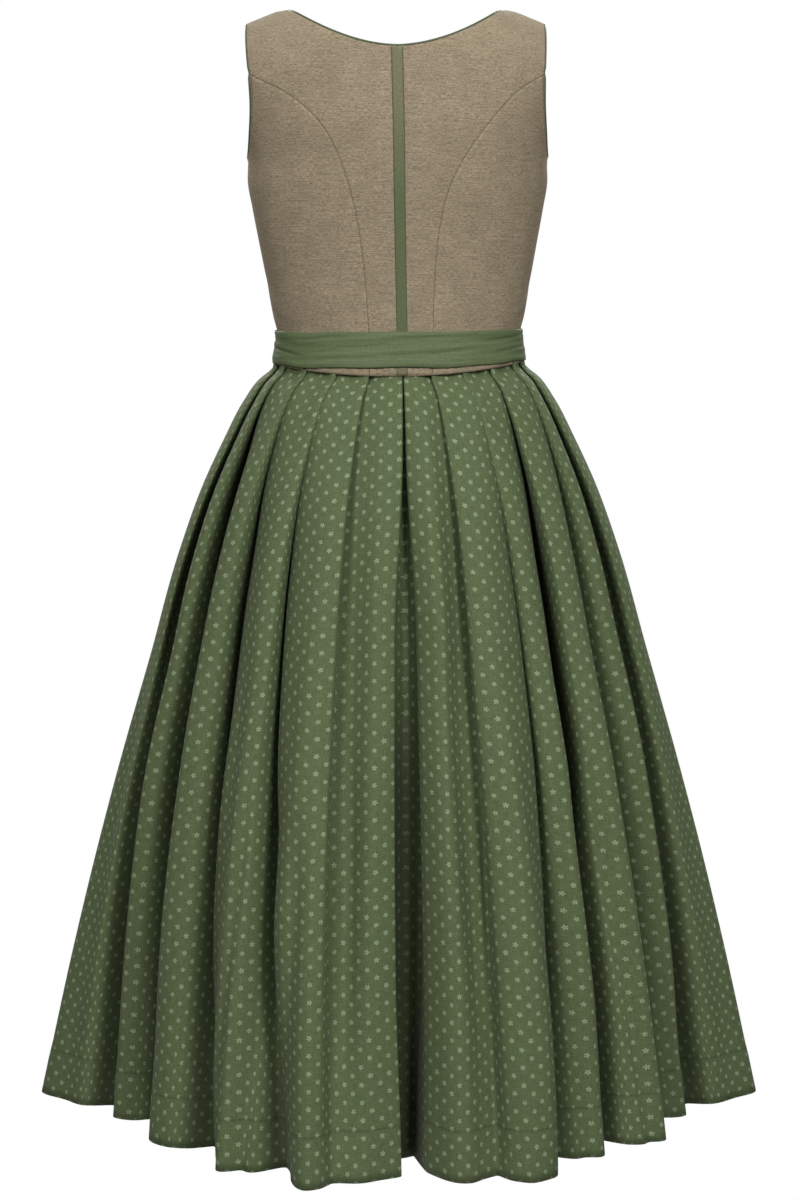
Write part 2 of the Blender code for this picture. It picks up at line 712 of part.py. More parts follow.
def build_skirt(collection):
    centre_right = (-CENTRE_BACK_HEM[0], CENTRE_BACK_HEM[1])
    back_left = quarter_columns(BACK_LEFT, CENTRE_BACK_HEM, False)
    back_right = quarter_columns(BACK_RIGHT, centre_right, False)
    front_left = quarter_columns(FRONT_LEFT, CENTRE_FRONT_HEM, True)
    front_right = quarter_columns(FRONT_RIGHT, CENTRE_FRONT_HEM, True)
    back = [(column, -1, False) for column in reversed(back_right)]
    back += [(column, 1, False) for column in back_left[1:]]
    pieces = {
        "skirt_back": back,
        "skirt_front_left": [(column, 1, True) for column in front_left],
        "skirt_front_right": [(column, -1, True) for column in front_right],
    }
    for name, columns in pieces.items():
        cotton = material(name + "_cotton", (0.094, 0.124, 0.062), 0.7)
        rows = skirt_rows(columns)
        for row in rows:
            set_seam_gap(name, row)
        cloth(name, rows, SKIRT_WALL, 0, cotton, collection)


def set_seam_gap(name, row):
    """Holds a width's first and last threads half a seam's gap away from the seam line."""
    half = SEAM / 2
    if name == "skirt_back":
        for point in (row[0], row[-1]):
            point.y += half
        return
    row[-1].y -= half
    row[0].x += half if name.endswith("left") else -half


def main():
    clear_scene()
    collection = new_collection("dirndl_dress")
    grids = build_bodice(collection)
    build_strips(grids, collection)
    build_piping(grids, collection)
    build_belt(collection)
    build_buttons(collection)
    build_skirt(collection)


main()
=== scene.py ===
"""Dirndl dress: its cloth, trims and buttons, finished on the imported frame, and a stage for it.

Z is up, the wearer faces -Y and the wearer's left is +X. Angles run round the body from the centre back
(0 degrees) over the wearer's left side (90) to the centre front (180).
"""

import math
from collections import namedtuple

import bmesh
import bpy
import numpy as np
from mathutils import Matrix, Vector

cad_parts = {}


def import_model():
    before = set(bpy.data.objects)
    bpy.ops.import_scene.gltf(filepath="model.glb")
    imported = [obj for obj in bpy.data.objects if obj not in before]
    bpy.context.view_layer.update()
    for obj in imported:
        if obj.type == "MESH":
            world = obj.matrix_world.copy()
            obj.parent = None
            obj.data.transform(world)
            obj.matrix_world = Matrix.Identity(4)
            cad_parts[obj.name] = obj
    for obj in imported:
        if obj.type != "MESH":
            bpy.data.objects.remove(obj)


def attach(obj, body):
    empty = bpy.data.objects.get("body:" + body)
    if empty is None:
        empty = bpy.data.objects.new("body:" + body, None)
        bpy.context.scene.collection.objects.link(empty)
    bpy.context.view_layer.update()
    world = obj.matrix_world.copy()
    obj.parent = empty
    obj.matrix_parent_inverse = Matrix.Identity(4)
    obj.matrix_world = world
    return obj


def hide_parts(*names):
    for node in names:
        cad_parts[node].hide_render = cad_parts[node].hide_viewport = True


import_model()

bl_info = {
    "name": "Dirndl Dress",
    "version": (1, 0, 0),
    "blender": (4, 5, 0),
    "location": "View3D > Sidebar > Dirndl",
    "description": "Builds a linen and printed cotton dirndl dress on its frame",
    "category": "Add Mesh",
}

# ---- Cut of the bodice, metres ------------------------------------------------------------------
SEAM = 0.0001
NECK_POINT_X = 0.118
SHOULDER_SLOPE = 0.40
SHOULDER_ROUND = 0.075
BACK_NECK_DEPTH = 0.0455
FRONT_NECK_DEPTH = 0.178
UNDERARM_Z = -0.163
LEAN = 0.004
CENTRE_DRIFT = -0.0034  # the centre-back seam runs this far to the wearer's right at the waist
BACK_TURN = -0.0085  # the back princess seams lie this far to the wearer's right at the blades
PEAK_ROUND = 0.0022

WAIST_SIDE_Z = -0.3785
WAIST_HALF_WIDTH = 0.138
WAIST_BACK_DIP = 0.0114
WAIST_FRONT_DIP = 0.0075
SKIRT_TUCK = 0.0040  # how far the pleats run up inside the bodice's edge
WAIST_TILT = -0.011  # the waist seam and belt sit a little higher on the wearer's right
HEM_Z = -1.1985

BELT_TOP_Z = -0.3431
BELT_BOTTOM_Z = -0.3790
BELT_CLEARANCE = 0.0027
BELT_OVERLAP = 0.022
BELT_LAP = 0.0024  # how far the belt's upper end stands off where it laps over
BUTTON_COUNT = 7
BUTTON_TOP_Z = -0.196
BUTTON_PITCH = 0.0222
BUTTON_LIFT = 0.0004

RIBBON_WALL = 0.0007
PLACKET_WALL = 0.0009
BELT_WALL = 0.0012
STRIP_GAP = 0.0001  # between the linen and a strip sewn over it
STRIP_END = 0.0004  # how far a strip stops from the waist seam and from the neck edge
LINEN_THREAD = 0.00055
COTTON_THREAD = 0.00042
SEAM_STITCH = 0.0024
HEM_STITCH = 0.006
EDGE_STITCH = 0.0022  # how far the placket's stitching runs inside its edge
RIBBON_RIB = 0.0009
SATIN_RIB = 0.0006
TUBE_SIDES = 12

Section = namedtuple("Section", "z half_width back_depth front_depth power")
TORSO = (
    Section(0.030, 0.2034, 0.0844, 0.0564, 2.3),
    Section(-0.030, 0.1944, 0.0904, 0.0724, 2.3),
    Section(-0.080, 0.1824, 0.0984, 0.0904, 2.3),
    Section(-0.120, 0.1714, 0.1024, 0.1044, 2.3),
    Section(-0.163, 0.1606, 0.1014, 0.1144, 2.25),
    Section(-0.185, 0.1610, 0.1004, 0.1174, 2.2),
    Section(-0.210, 0.1569, 0.0979, 0.1164, 2.2),
    Section(-0.250, 0.1496, 0.0944, 0.1104, 2.15),
    Section(-0.290, 0.1422, 0.0914, 0.1034, 2.1),
    Section(-0.330, 0.1352, 0.0899, 0.0984, 2.1),
    Section(-0.347, 0.1312, 0.0894, 0.0974, 2.1),
    Section(-0.367, 0.1331, 0.0914, 0.0989, 2.1),
    Section(-0.400, 0.1404, 0.0984, 0.1054, 2.1),
)
BUST_X, BUST_Z, BUST_OUT, BUST_SPREAD = 0.076, -0.212, 0.011, 0.048

Point = namedtuple("Point", "x z")
BACK_PRINCESS = (
    Point(0.1555, -0.0728),
    Point(0.1200, -0.0935),
    Point(0.0870, -0.1265),
    Point(0.0640, -0.1640),
    Point(0.0510, -0.1970),
    Point(0.0435, -0.2300),
    Point(0.0385, -0.2700),
    Point(0.0350, -0.3200),
    Point(0.0335, -0.3920),
)
FRONT_PRINCESS = (
    Point(0.1485, -0.1050),
    Point(0.1280, -0.1350),
    Point(0.1100, -0.1650),
    Point(0.0960, -0.1910),
    Point(0.0860, -0.2160),
    Point(0.0765, -0.2500),
    Point(0.0655, -0.3000),
    Point(0.0575, -0.3450),
    Point(0.0545, -0.3860),
)
BACK_ARMHOLE_UPPER = (Point(0.1590, -0.0164), Point(0.1575, -0.0440), Point(0.1555, -0.0728))
BACK_ARMHOLE_LOWER = (
    Point(0.1555, -0.0728),
    Point(0.1550, -0.1050),
    Point(0.1570, -0.1330),
    Point(0.1598, -0.1540),
    Point(0.1622, -0.1630),
)
FRONT_ARMHOLE_UPPER = (Point(0.1590, -0.0164), Point(0.1530, -0.0550), Point(0.1485, -0.1050))
FRONT_ARMHOLE_LOWER = (
    Point(0.1485, -0.1050),
    Point(0.1495, -0.1250),
    Point(0.1535, -0.1430),
    Point(0.1585, -0.1565),
    Point(0.1622, -0.1630),
)
# Steps of a coarse panel grid: each is cut into finer ones, so the corners keep their places.
FINE = 7
PRINCESS_STEPS = 10
ARMHOLE_STEPS = 3
FRONT_CENTRE_STEPS = 6
BACK_CENTRE_STEPS = 9
PANEL_COLUMNS = 44
SHOULDER_GATHER = 1.5
CLOTH_SAMPLES = 25
CHEST_Z = -0.20

# ---- Skirt: flare down the drop, and one row for each pleat of a quarter --------------------------
Flare = namedtuple("Flare", "drop open")
FLARE = (
    Flare(0.0, 0.0),
    Flare(0.004, 0.001),
    Flare(0.023, 0.065),
    Flare(0.050, 0.124),
    Flare(0.104, 0.211),
    Flare(0.157, 0.288),
    Flare(0.252, 0.396),
    Flare(0.389, 0.518),
    Flare(0.527, 0.644),
    Flare(0.667, 0.761),
    Flare(0.808, 0.868),
    Flare(1.0, 1.0),
)
LAYER = 0.0026
UNDERLAP = 0.016
PANEL_FLAT = 0.0185
Pleat = namedtuple("Pleat", "waist edge edge_r valley valley_r crest crest_r flank flank_r")
BACK_LEFT = (
    Pleat(-2.1, -0.8, 0.301, 4.4, 0.263, 3.6, 0.314, 8.0, 0.327),
    Pleat(19.3, 13.4, 0.350, 11.8, 0.336, 15.6, 0.358, 18.6, 0.349),
    Pleat(38.7, 30.0, 0.333, 22.7, 0.309, 33.4, 0.342, 36.4, 0.327),
    Pleat(55.8, 49.5, 0.322, 41.6, 0.295, 54.6, 0.325, 59.4, 0.312),
    Pleat(70.8, 67.5, 0.317, 63.8, 0.292, 70.4, 0.325, 72.6, 0.327),
    Pleat(80.5, 79.5, 0.361, 75.0, 0.335, 86.4, 0.4005, 90.0, 0.4025),
)
BACK_RIGHT = (
    Pleat(3.5, 5.8, 0.294, 3.3, 0.243, 12.2, 0.330, 15.6, 0.327),
    Pleat(21.0, 20.4, 0.337, 18.5, 0.322, 23.2, 0.350, 27.4, 0.347),
    Pleat(39.3, 37.6, 0.315, 32.6, 0.297, 41.4, 0.322, 44.4, 0.311),
    Pleat(55.8, 50.6, 0.318, 46.8, 0.290, 54.6, 0.338, 60.6, 0.325),
    Pleat(70.5, 69.6, 0.319, 66.2, 0.296, 71.8, 0.330, 73.4, 0.334),
    Pleat(80.5, 80.2, 0.358, 76.0, 0.337, 86.6, 0.4005, 90.0, 0.4025),
)
FRONT_LEFT = (
    Pleat(2.6, 4.6, 0.300, 2.4, 0.250, 10.4, 0.330, 14.0, 0.329),
    Pleat(20.5, 19.4, 0.341, 16.6, 0.322, 22.8, 0.352, 26.2, 0.345),
    Pleat(38.5, 36.2, 0.322, 30.8, 0.300, 40.2, 0.331, 43.6, 0.320),
    Pleat(55.0, 51.4, 0.322, 47.2, 0.296, 55.4, 0.337, 60.2, 0.323),
    Pleat(69.5, 68.6, 0.322, 64.8, 0.297, 71.2, 0.333, 73.6, 0.336),
    Pleat(80.0, 79.8, 0.360, 75.8, 0.339, 86.4, 0.4005, 90.0, 0.4025),
)
FRONT_RIGHT = (
    Pleat(2.6, 4.4, 0.302, 2.2, 0.250, 8.8, 0.326, 12.4, 0.333),
    Pleat(19.8, 16.6, 0.347, 14.6, 0.331, 19.0, 0.356, 22.4, 0.347),
    Pleat(38.0, 32.8, 0.330, 27.0, 0.305, 36.4, 0.340, 39.8, 0.327),
    Pleat(54.5, 50.2, 0.322, 44.0, 0.295, 54.8, 0.329, 59.4, 0.315),
    Pleat(69.5, 67.8, 0.319, 64.0, 0.294, 70.8, 0.328, 73.0, 0.331),
    Pleat(80.0, 79.6, 0.360, 75.2, 0.337, 86.4, 0.4005, 90.0, 0.4025),
)
CENTRE_BACK_HEM = (-2.0, 0.243)
CENTRE_FRONT_HEM = (0.0, 0.250)
FOLD_SINKING = 0.55  # the folds reach their depth early down the drop
FOLD_DEEPENING = 0.55  # and are deeper half way down than at the hem, by this share
CENTRE_DEEPENING = -0.30  # but the middle folds are shallower there
FOLD_SHADOW = 0.024  # how far a panel sinks before it goes under its neighbour's folded edge
SINK_ROUND = 0.35  # the share of it that is taken along the radius
SINK_FLAT = 0.75  # and the share taken straight towards the sides' plane
FLANK_BACK = 0.006  # how wide the sunken strip is
BACK_LEFT_SINKS = (0.3, 0.35, 0.8, 1.1, 1.5, 1.7)
BACK_RIGHT_SINKS = (0.3, 0.4, 0.8, 1.2, 1.1, 1.8)
FRONT_SINKS = (0.6, 0.5, 0.9, 1.1, 0.8, 1.1)
# At the top of the middle folds only this share of the painted fold shade is kept.
CENTRE_SHADE = 0.42  # the middle folds are open, so light reaches into them
CENTRE_PARTING = 0.0052  # how far the two middle folds of the back part beyond their pleat table
Sideways = namedtuple("Sideways", "share left right")
# How far the back's folds swing sideways half way down, in shares of the skirt's half width there.
SWING = (
    Sideways(0.0, 0.018, -0.018),
    Sideways(0.08, 0.020, 0.004),
    Sideways(0.24, 0.018, 0.004),
    Sideways(0.44, 0.046, 0.020),
    Sideways(0.60, 0.052, 0.026),
    Sideways(0.73, 0.085, 0.018),
    Sideways(0.83, 0.095, 0.060),
    Sideways(0.93, 0.045, 0.040),
    Sideways(1.0, 0.0, 0.0),
)
SKIRT_LEVEL_COUNT = 112
COLUMNS_A_PLEAT = 32
CURVE_STEPS = 14  # points of a level's curve from one guiding column to the next

# Soft ridges and troughs of the skirt: where each starts and ends, and how it rises off the cloth.
Ridge = namedtuple("Ridge", "top_degrees top_drop low_degrees low_drop width height")
SKIRT_RIDGES = (
    Ridge(22.5, 0.50, 20.6, 1.00, 0.010, -0.0036),
    Ridge(30.5, 0.45, 29.8, 1.00, 0.009, -0.0044),
    Ridge(37.0, 0.45, 35.6, 1.00, 0.008, -0.0042),
    Ridge(-38.0, 0.50, -38.8, 1.00, 0.010, -0.0038),
    Ridge(-46.0, 0.50, -47.2, 1.00, 0.008, -0.0044),
    Ridge(-53.0, 0.45, -54.0, 1.00, 0.008, -0.0048),
    Ridge(-66.0, 0.55, -67.0, 1.00, 0.012, -0.0030),
    Ridge(68.0, 0.50, 66.0, 1.00, 0.012, -0.0034),
    Ridge(8.0, 0.30, 7.0, 1.00, 0.016, 0.0030),
    Ridge(12.5, 0.45, 11.5, 0.92, 0.010, -0.0022),
    Ridge(24.0, 0.22, 23.0, 0.85, 0.013, 0.0026),
    Ridge(27.0, 0.55, 27.5, 1.00, 0.015, 0.0034),
    Ridge(44.0, 0.25, 41.0, 0.95, 0.014, -0.0028),
    Ridge(47.0, 0.35, 45.5, 1.00, 0.012, 0.0030),
    Ridge(60.5, 0.20, 57.0, 0.90, 0.012, 0.0024),
    Ridge(75.0, 0.35, 71.5, 1.00, 0.014, 0.0030),
    Ridge(84.0, 0.30, 83.0, 1.00, 0.018, -0.0040),
    Ridge(-9.0, 0.35, -9.5, 1.00, 0.014, 0.0032),
    Ridge(-14.0, 0.28, -17.0, 0.88, 0.011, -0.0024),
    Ridge(-26.0, 0.30, -29.0, 1.00, 0.016, 0.0036),
    Ridge(-31.5, 0.45, -34.5, 0.95, 0.010, -0.0022),
    Ridge(-45.0, 0.25, -44.0, 0.98, 0.014, 0.0030),
    Ridge(-60.0, 0.25, -57.0, 1.00, 0.013, 0.0026),
    Ridge(-64.0, 0.50, -62.0, 1.00, 0.011, -0.0026),
    Ridge(-76.0, 0.30, -73.0, 0.94, 0.013, 0.0028),
    Ridge(-84.5, 0.40, -84.0, 1.00, 0.018, -0.0040),
    Ridge(98.0, 0.28, 97.0, 1.00, 0.016, -0.0034),
    Ridge(106.0, 0.36, 108.5, 0.92, 0.013, 0.0030),
    Ridge(121.0, 0.22, 122.5, 1.00, 0.014, 0.0028),
    Ridge(134.0, 0.40, 135.5, 0.95, 0.012, -0.0026),
    Ridge(148.0, 0.26, 150.0, 1.00, 0.015, 0.0034),
    Ridge(166.0, 0.34, 165.0, 0.97, 0.014, 0.0030),
    Ridge(-99.0, 0.32, -97.5, 1.00, 0.016, -0.0034),
    Ridge(-110.0, 0.24, -112.0, 0.96, 0.013, 0.0028),
    Ridge(-124.0, 0.38, -126.0, 1.00, 0.012, 0.0032),
    Ridge(-139.0, 0.30, -142.0, 0.90, 0.013, -0.0028),
    Ridge(-153.0, 0.24, -155.0, 1.00, 0.015, 0.0034),
    Ridge(-169.0, 0.42, -168.0, 1.00, 0.013, 0.0026),
)

# Creases of the belt: degrees round the body and share of its height at each end.
Crease = namedtuple("Crease", "from_degrees from_share to_degrees to_share width depth")
BELT_CREASES = (
    Crease(88, 0.50, 44, 0.33, 0.0013, 0.0013),
    Crease(58, 0.78, 18, 0.88, 0.0016, 0.0006),
    Crease(30, 0.55, 2, 0.64, 0.0018, 0.0005),
    Crease(40, 0.20, 8, 0.26, 0.0018, 0.0005),
    Crease(6, 0.78, -30, 0.92, 0.0015, 0.0006),
    Crease(-4, 0.38, -34, 0.46, 0.0018, 0.0005),
    Crease(-36, 0.64, -82, 0.80, 0.0016, 0.0008),
    Crease(-46, 0.34, -84, 0.46, 0.0014, 0.0009),
    Crease(-14, 0.16, -52, 0.14, 0.0016, 0.0006),
    Crease(80, 0.72, 112, 0.64, 0.0016, 0.0008),
    Crease(96, 0.34, 140, 0.45, 0.0015, 0.0009),
    Crease(128, 0.78, 166, 0.70, 0.0014, 0.0008),
    Crease(150, 0.28, 176, 0.36, 0.0015, 0.0008),
    Crease(-92, 0.62, -126, 0.74, 0.0016, 0.0008),
    Crease(-104, 0.28, -146, 0.36, 0.0015, 0.0009),
    Crease(-138, 0.80, -170, 0.68, 0.0014, 0.0008),
    Crease(-158, 0.42, -178, 0.52, 0.0015, 0.0007),
)
# Soft hollows of the bodice, as lines from one (degrees, z) to another.
BODICE_CREASES = (
    Crease(62, -0.335, 88, -0.318, 0.006, 0.0010),
    Crease(70, -0.300, 92, -0.290, 0.007, 0.0007),
    Crease(-60, -0.338, -88, -0.322, 0.006, 0.0010),
    Crease(-68, -0.306, -92, -0.292, 0.007, 0.0007),
    Crease(52, -0.150, 66, -0.190, 0.009, 0.0010),
    Crease(-50, -0.148, -64, -0.192, 0.009, 0.0010),
    Crease(100, -0.330, 124, -0.340, 0.006, 0.0010),
    Crease(-98, -0.328, -122, -0.338, 0.006, 0.0010),
    Crease(104, -0.186, 122, -0.206, 0.008, 0.0008),
    Crease(-104, -0.184, -121, -0.204, 0.008, 0.0008),
)


def linear(code):
    """Linear colour of an sRGB hex code."""
    values = [int(code[i : i + 2], 16) / 255 for i in (1, 3, 5)]
    return tuple(v / 12.92 if v <= 0.04045 else ((v + 0.055) / 1.055) ** 2.4 for v in values)


# ---- Curves and tables ----------------------------------------------------------------------------
def through(keys, values, at):
    """Smooth curve through rows with rising keys, read at an array of keys."""
    keys = np.asarray(keys, float)
    values = np.asarray(values, float).reshape(len(keys), -1)
    at = np.clip(np.asarray(at, float), keys[0], keys[-1])
    width = np.diff(keys)[:, None]
    steps = np.diff(values, axis=0) / width
    middle = (steps[:-1] * width[1:] + steps[1:] * width[:-1]) / (width[1:] + width[:-1])
    tangents = np.concatenate([steps[:1], middle, steps[-1:]])
    row = np.clip(np.searchsorted(keys, at, side="right") - 1, 0, len(keys) - 2)
    t = ((at - keys[row]) / width[row, 0])[..., None]
    result = (
        values[row] * (1 + 2 * t) * (1 - t) ** 2
        + values[row + 1] * t * t * (3 - 2 * t)
        + width[row] * tangents[row] * t * (1 - t) ** 2
        - width[row] * tangents[row + 1] * t * t * (1 - t)
    )
    return result[..., 0] if values.shape[1] == 1 else result


def mix(a, b, share):
    return a + (b - a) * share


def smoothstep(low, high, value):
    share = np.clip((value - low) / (high - low), 0.0, 1.0)
    return share * share * (3 - 2 * share)


def run_lengths(points):
    """Distance along each row of points from its first one."""
    steps = np.linalg.norm(np.diff(points, axis=-2), axis=-1)
    zero = np.zeros(steps.shape[:-1] + (1,))
    return np.concatenate([zero, np.cumsum(steps, axis=-1)], axis=-1)


def seam_line(rows, shares):
    """(x, z) pairs at shares of the length of the smooth curve through a seam's rows."""
    table = np.array(rows, float)
    keys = run_lengths(table)
    return through(keys, table, keys[-1] * shares)


# ---- The body's surface ---------------------------------------------------------------------------
def body_section(z):
    rows = np.array(TORSO[::-1])
    return np.moveaxis(through(rows[:, 0], rows[:, 1:], z), -1, 0)


def torso(angle, z):
    """Points of the bodice's inner face at angles in radians and heights."""
    angle, z = np.broadcast_arrays(np.asarray(angle, float), np.asarray(z, float))
    half_width, back, front, power = body_section(z)
    sine, cosine = np.sin(angle), np.cos(angle)
    x = np.sign(sine) * np.abs(sine) ** (2 / power) * half_width
    ridge = -SHOULDER_SLOPE * (np.abs(x) - NECK_POINT_X)
    risen = np.clip((ridge - z) / SHOULDER_ROUND, 0.0, 1.0)
    across, along = (np.abs(x) - BUST_X) / BUST_SPREAD, (z - BUST_Z) / BUST_SPREAD
    bust = BUST_OUT * np.exp(-across * across - along * along)
    depth = np.where(cosine > 0, back, front + bust) * np.sqrt(1 - (1 - risen) ** 2)
    y = np.sign(cosine) * (np.abs(cosine) ** (2 / power) * depth + SEAM)
    drop = np.clip(-z / 0.35, 0.0, 1.0)
    drift = mix(-0.0010, CENTRE_DRIFT, drop) * np.exp(-((x / 0.05) ** 2)) * (cosine > 0)
    turned = BACK_TURN * np.exp(-(((np.abs(x) - 0.09) / 0.05) ** 2) - ((z + 0.12) / 0.07) ** 2) * (cosine > 0)
    peak = PEAK_ROUND * np.exp(-(((np.abs(x) - NECK_POINT_X) / 0.008) ** 2)) * smoothstep(-0.012, 0.0, z)
    height = z + WAIST_TILT * x * smoothstep(-0.30, -0.36, z) - peak
    return np.stack([x + LEAN * (1 - drop) + drift + turned, y, height], -1)


def outward(angle, z):
    step = 0.002
    around = torso(angle + step, z) - torso(angle - step, z)
    up = torso(angle, z + step) - torso(angle, z - step)
    normal = np.cross(up, around)
    return normal / np.linalg.norm(normal, axis=-1, keepdims=True)


def angle_at(x, z, front):
    """The angle at which the surface is a distance x from the centre plane."""
    half_width, _, _, power = body_section(z)
    angle = np.arcsin(np.minimum(1.0, np.abs(x) / half_width) ** (power / 2)) * np.sign(x)
    return math.pi - angle if front else angle


def waist_seam(x, front):
    dip = np.where(front, WAIST_FRONT_DIP, WAIST_BACK_DIP)
    return WAIST_SIDE_Z - dip * np.maximum(0.0, 1 - (x / WAIST_HALF_WIDTH) ** 2)


def waist_at(angle):
    half_width, _, _, power = body_section(np.full_like(angle, WAIST_SIDE_Z, float))
    x = np.abs(np.sin(angle)) ** (2 / power) * half_width
    return waist_seam(x, np.cos(angle) < 0)


def back_neck(x):
    return -BACK_NECK_DEPTH * (1 - np.minimum(1.0, np.abs(x) / NECK_POINT_X) ** 1.9)


def front_neck(x):
    return -FRONT_NECK_DEPTH * (1 - np.minimum(1.0, np.abs(x) / NECK_POINT_X) ** 2.2) ** 0.5


def along_cloth(angle, z, front):
    """Cloth metres sideways from the centre line, and up from chest height, of points on the body."""
    centre = math.pi if front else 0.0
    shares = np.linspace(0.0, 1.0, CLOTH_SAMPLES)[:, None, None]
    every = (CLOTH_SAMPLES,) + z.shape
    around = torso(mix(centre, angle, shares), np.broadcast_to(z, every))
    upright = torso(np.broadcast_to(angle, every), mix(CHEST_Z, z, shares))
    sideways = np.linalg.norm(np.diff(around, axis=0), axis=-1).sum(0)
    rise = np.linalg.norm(np.diff(upright, axis=0), axis=-1).sum(0)
    return np.stack([sideways, rise * np.sign(z - CHEST_Z)], -1)


# ---- Meshes ---------------------------------------------------------------------------------------
def cloth_mesh(name, points, cloth, closed=False):
    """A mesh on rows and columns of points, with a UV map in cloth metres. Closed joins its sides."""
    rows, columns = points.shape[:2]
    shape = bmesh.new()
    bmesh.ops.create_grid(shape, x_segments=columns - 1, y_segments=rows - 1, size=1.0)
    mesh = bpy.data.meshes.new(name)
    shape.to_mesh(mesh)
    shape.free()
    place = np.empty(len(mesh.vertices) * 3)
    mesh.vertices.foreach_get("co", place)
    place = (place.reshape(-1, 3) + 1) / 2
    column = np.rint(place[:, 0] * (columns - 1)).astype(int)
    row = np.rint(place[:, 1] * (rows - 1)).astype(int)
    mesh.vertices.foreach_set("co", points[row, column].ravel())
    corner = np.empty(len(mesh.loops), int)
    mesh.loops.foreach_get("vertex_index", corner)
    layer = mesh.uv_layers.new(name="cloth")
    layer.data.foreach_set("uv", cloth[row[corner], column[corner]].ravel())
    mesh.update()
    if closed:
        shape = bmesh.new()
        shape.from_mesh(mesh)
        bmesh.ops.remove_doubles(shape, verts=shape.verts, dist=0.000005)
        bmesh.ops.recalc_face_normals(shape, faces=shape.faces)
        shape.to_mesh(mesh)
        shape.free()
    mesh.shade_smooth()
    return mesh


def face_outwards(mesh):
    """Turns an open cloth so that its faces look away from the body's axis."""
    facing = sum(face.normal.xy.dot(face.center.xy) * face.area for face in mesh.polygons)
    if facing < 0:
        mesh.flip_normals()


def attribute(mesh, name, row_values):
    """Stores one number a vertex, given as the grid's rows of values."""
    made = mesh.attributes.new(name, "FLOAT", "POINT")
    made.data.foreach_set("value", row_values.ravel())


def piece(name, mesh, finish, slot, *nodes):
    """Links a mesh as a finished piece that stands for CAD nodes and rides with the dress."""
    obj = bpy.data.objects.new(name, mesh)
    bpy.context.scene.collection.objects.link(obj)
    mesh.materials.append(finish)
    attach(obj, "root")
    if nodes:
        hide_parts(*nodes)
    return obj


def thicken(obj, wall, side):
    solid = obj.modifiers.new("wall", "SOLIDIFY")
    solid.thickness = wall
    solid.offset = side
    solid.use_quality_normals = True
    return solid


def tube_mesh(name, path, radius):
    """A round cord along a closed path, with its UV map in metres round and along it."""
    path = np.vstack([path, path[:1]])
    along = np.vstack([path[1:], path[1:2]]) - np.vstack([path[-2:-1], path[:-1]])
    along /= np.linalg.norm(along, axis=1, keepdims=True)
    across = np.cross(along, path * (1, 1, 0) + (0, 0, 0.0001))
    across /= np.linalg.norm(across, axis=1, keepdims=True)
    over = np.cross(along, across)
    turn = np.linspace(0, 2 * math.pi, TUBE_SIDES + 1)
    ring = np.cos(turn)[None, :, None] * across[:, None] + np.sin(turn)[None, :, None] * over[:, None]
    points = path[:, None] + ring * radius
    length = run_lengths(path)
    cloth = np.stack(np.broadcast_arrays(turn[None] * radius, length[:, None]), -1)
    return cloth_mesh(name, points, cloth, closed=True)


# ---- Materials ------------------------------------------------------------------------------------
def node(tree, kind, inputs=None, **settings):
    """Adds a node, sets it and fills its inputs with numbers, colours or other nodes' outputs."""
    made = tree.nodes.new("ShaderNode" + kind)
    for key, value in settings.items():
        setattr(made, key, value)
    for key, value in (inputs or {}).items():
        if isinstance(value, bpy.types.NodeSocket):
            tree.links.new(value, made.inputs[key])
        else:
            made.inputs[key].default_value = value
    return made


def sums(tree, operation, *values):
    """Output of a Math node on its values."""
    return node(tree, "Math", dict(enumerate(values)), operation=operation).outputs[0]


def plus(tree, a, b):
    return sums(tree, "ADD", a, b)


def times(tree, a, b):
    return sums(tree, "MULTIPLY", a, b)


def wave(tree, value, length):
    """Sine of a distance, with waves of a length in metres."""
    return sums(tree, "SINE", times(tree, value, 2 * math.pi / length))


def ramp(tree, value, low, high, start=0.0, end=1.0):
    """A value mapped smoothly from low..high to start..end."""
    inputs = {"Value": value, "From Min": low, "From Max": high, "To Min": start, "To Max": end}
    return node(tree, "MapRange", inputs, interpolation_type="SMOOTHSTEP").outputs[0]


def blend_colour(tree, share, a, b):
    """Colour mixed from a to b by a share."""
    made = node(tree, "Mix", {0: share}, data_type="RGBA")
    for index, value in ((6, a), (7, b)):
        if isinstance(value, bpy.types.NodeSocket):
            tree.links.new(value, made.inputs[index])
        else:
            made.inputs[index].default_value = (*value, 1.0)
    return made.outputs[2]


def new_material(name, **sockets):
    """A Principled material with even values set on its own sockets."""
    made = bpy.data.materials.new(name)
    made.use_nodes = True
    shader = made.node_tree.nodes["Principled BSDF"]
    for key, value in sockets.items():
        shader.inputs[key.replace("_", " ")].default_value = value
    return made, made.node_tree, shader


def cloth_coordinates(tree):
    """The u and v outputs of the piece's cloth map, in metres."""
    mapped = node(tree, "UVMap", uv_map="cloth").outputs[0]
    split = node(tree, "SeparateXYZ", {0: mapped})
    return split.outputs[0], split.outputs[1]


def streaks(tree, u, v, length, thickness, detail=3.0, rough=0.6):
    """Noise drawn out along u, as slubs of a length and thickness in metres."""
    place = {0: sums(tree, "DIVIDE", u, length), 1: sums(tree, "DIVIDE", v, thickness)}
    drawn = node(tree, "CombineXYZ", place).outputs[0]
    inputs = {"Vector": drawn, "Scale": 1.0, "Detail": detail, "Roughness": rough}
    return node(tree, "TexNoise", inputs, noise_dimensions="2D").outputs[0]


def plain_weave(tree, u, v, pitch):
    """Height of a plain weave of that thread pitch, from 0 to 1."""
    warp, weft = wave(tree, u, 2 * pitch), wave(tree, v, 2 * pitch)
    over = sums(tree, "GREATER_THAN", times(tree, warp, weft), 0.0)
    warp, weft = sums(tree, "ABSOLUTE", warp), sums(tree, "ABSOLUTE", weft)
    return plus(tree, times(tree, warp, over), times(tree, weft, sums(tree, "SUBTRACT", 1.0, over)))


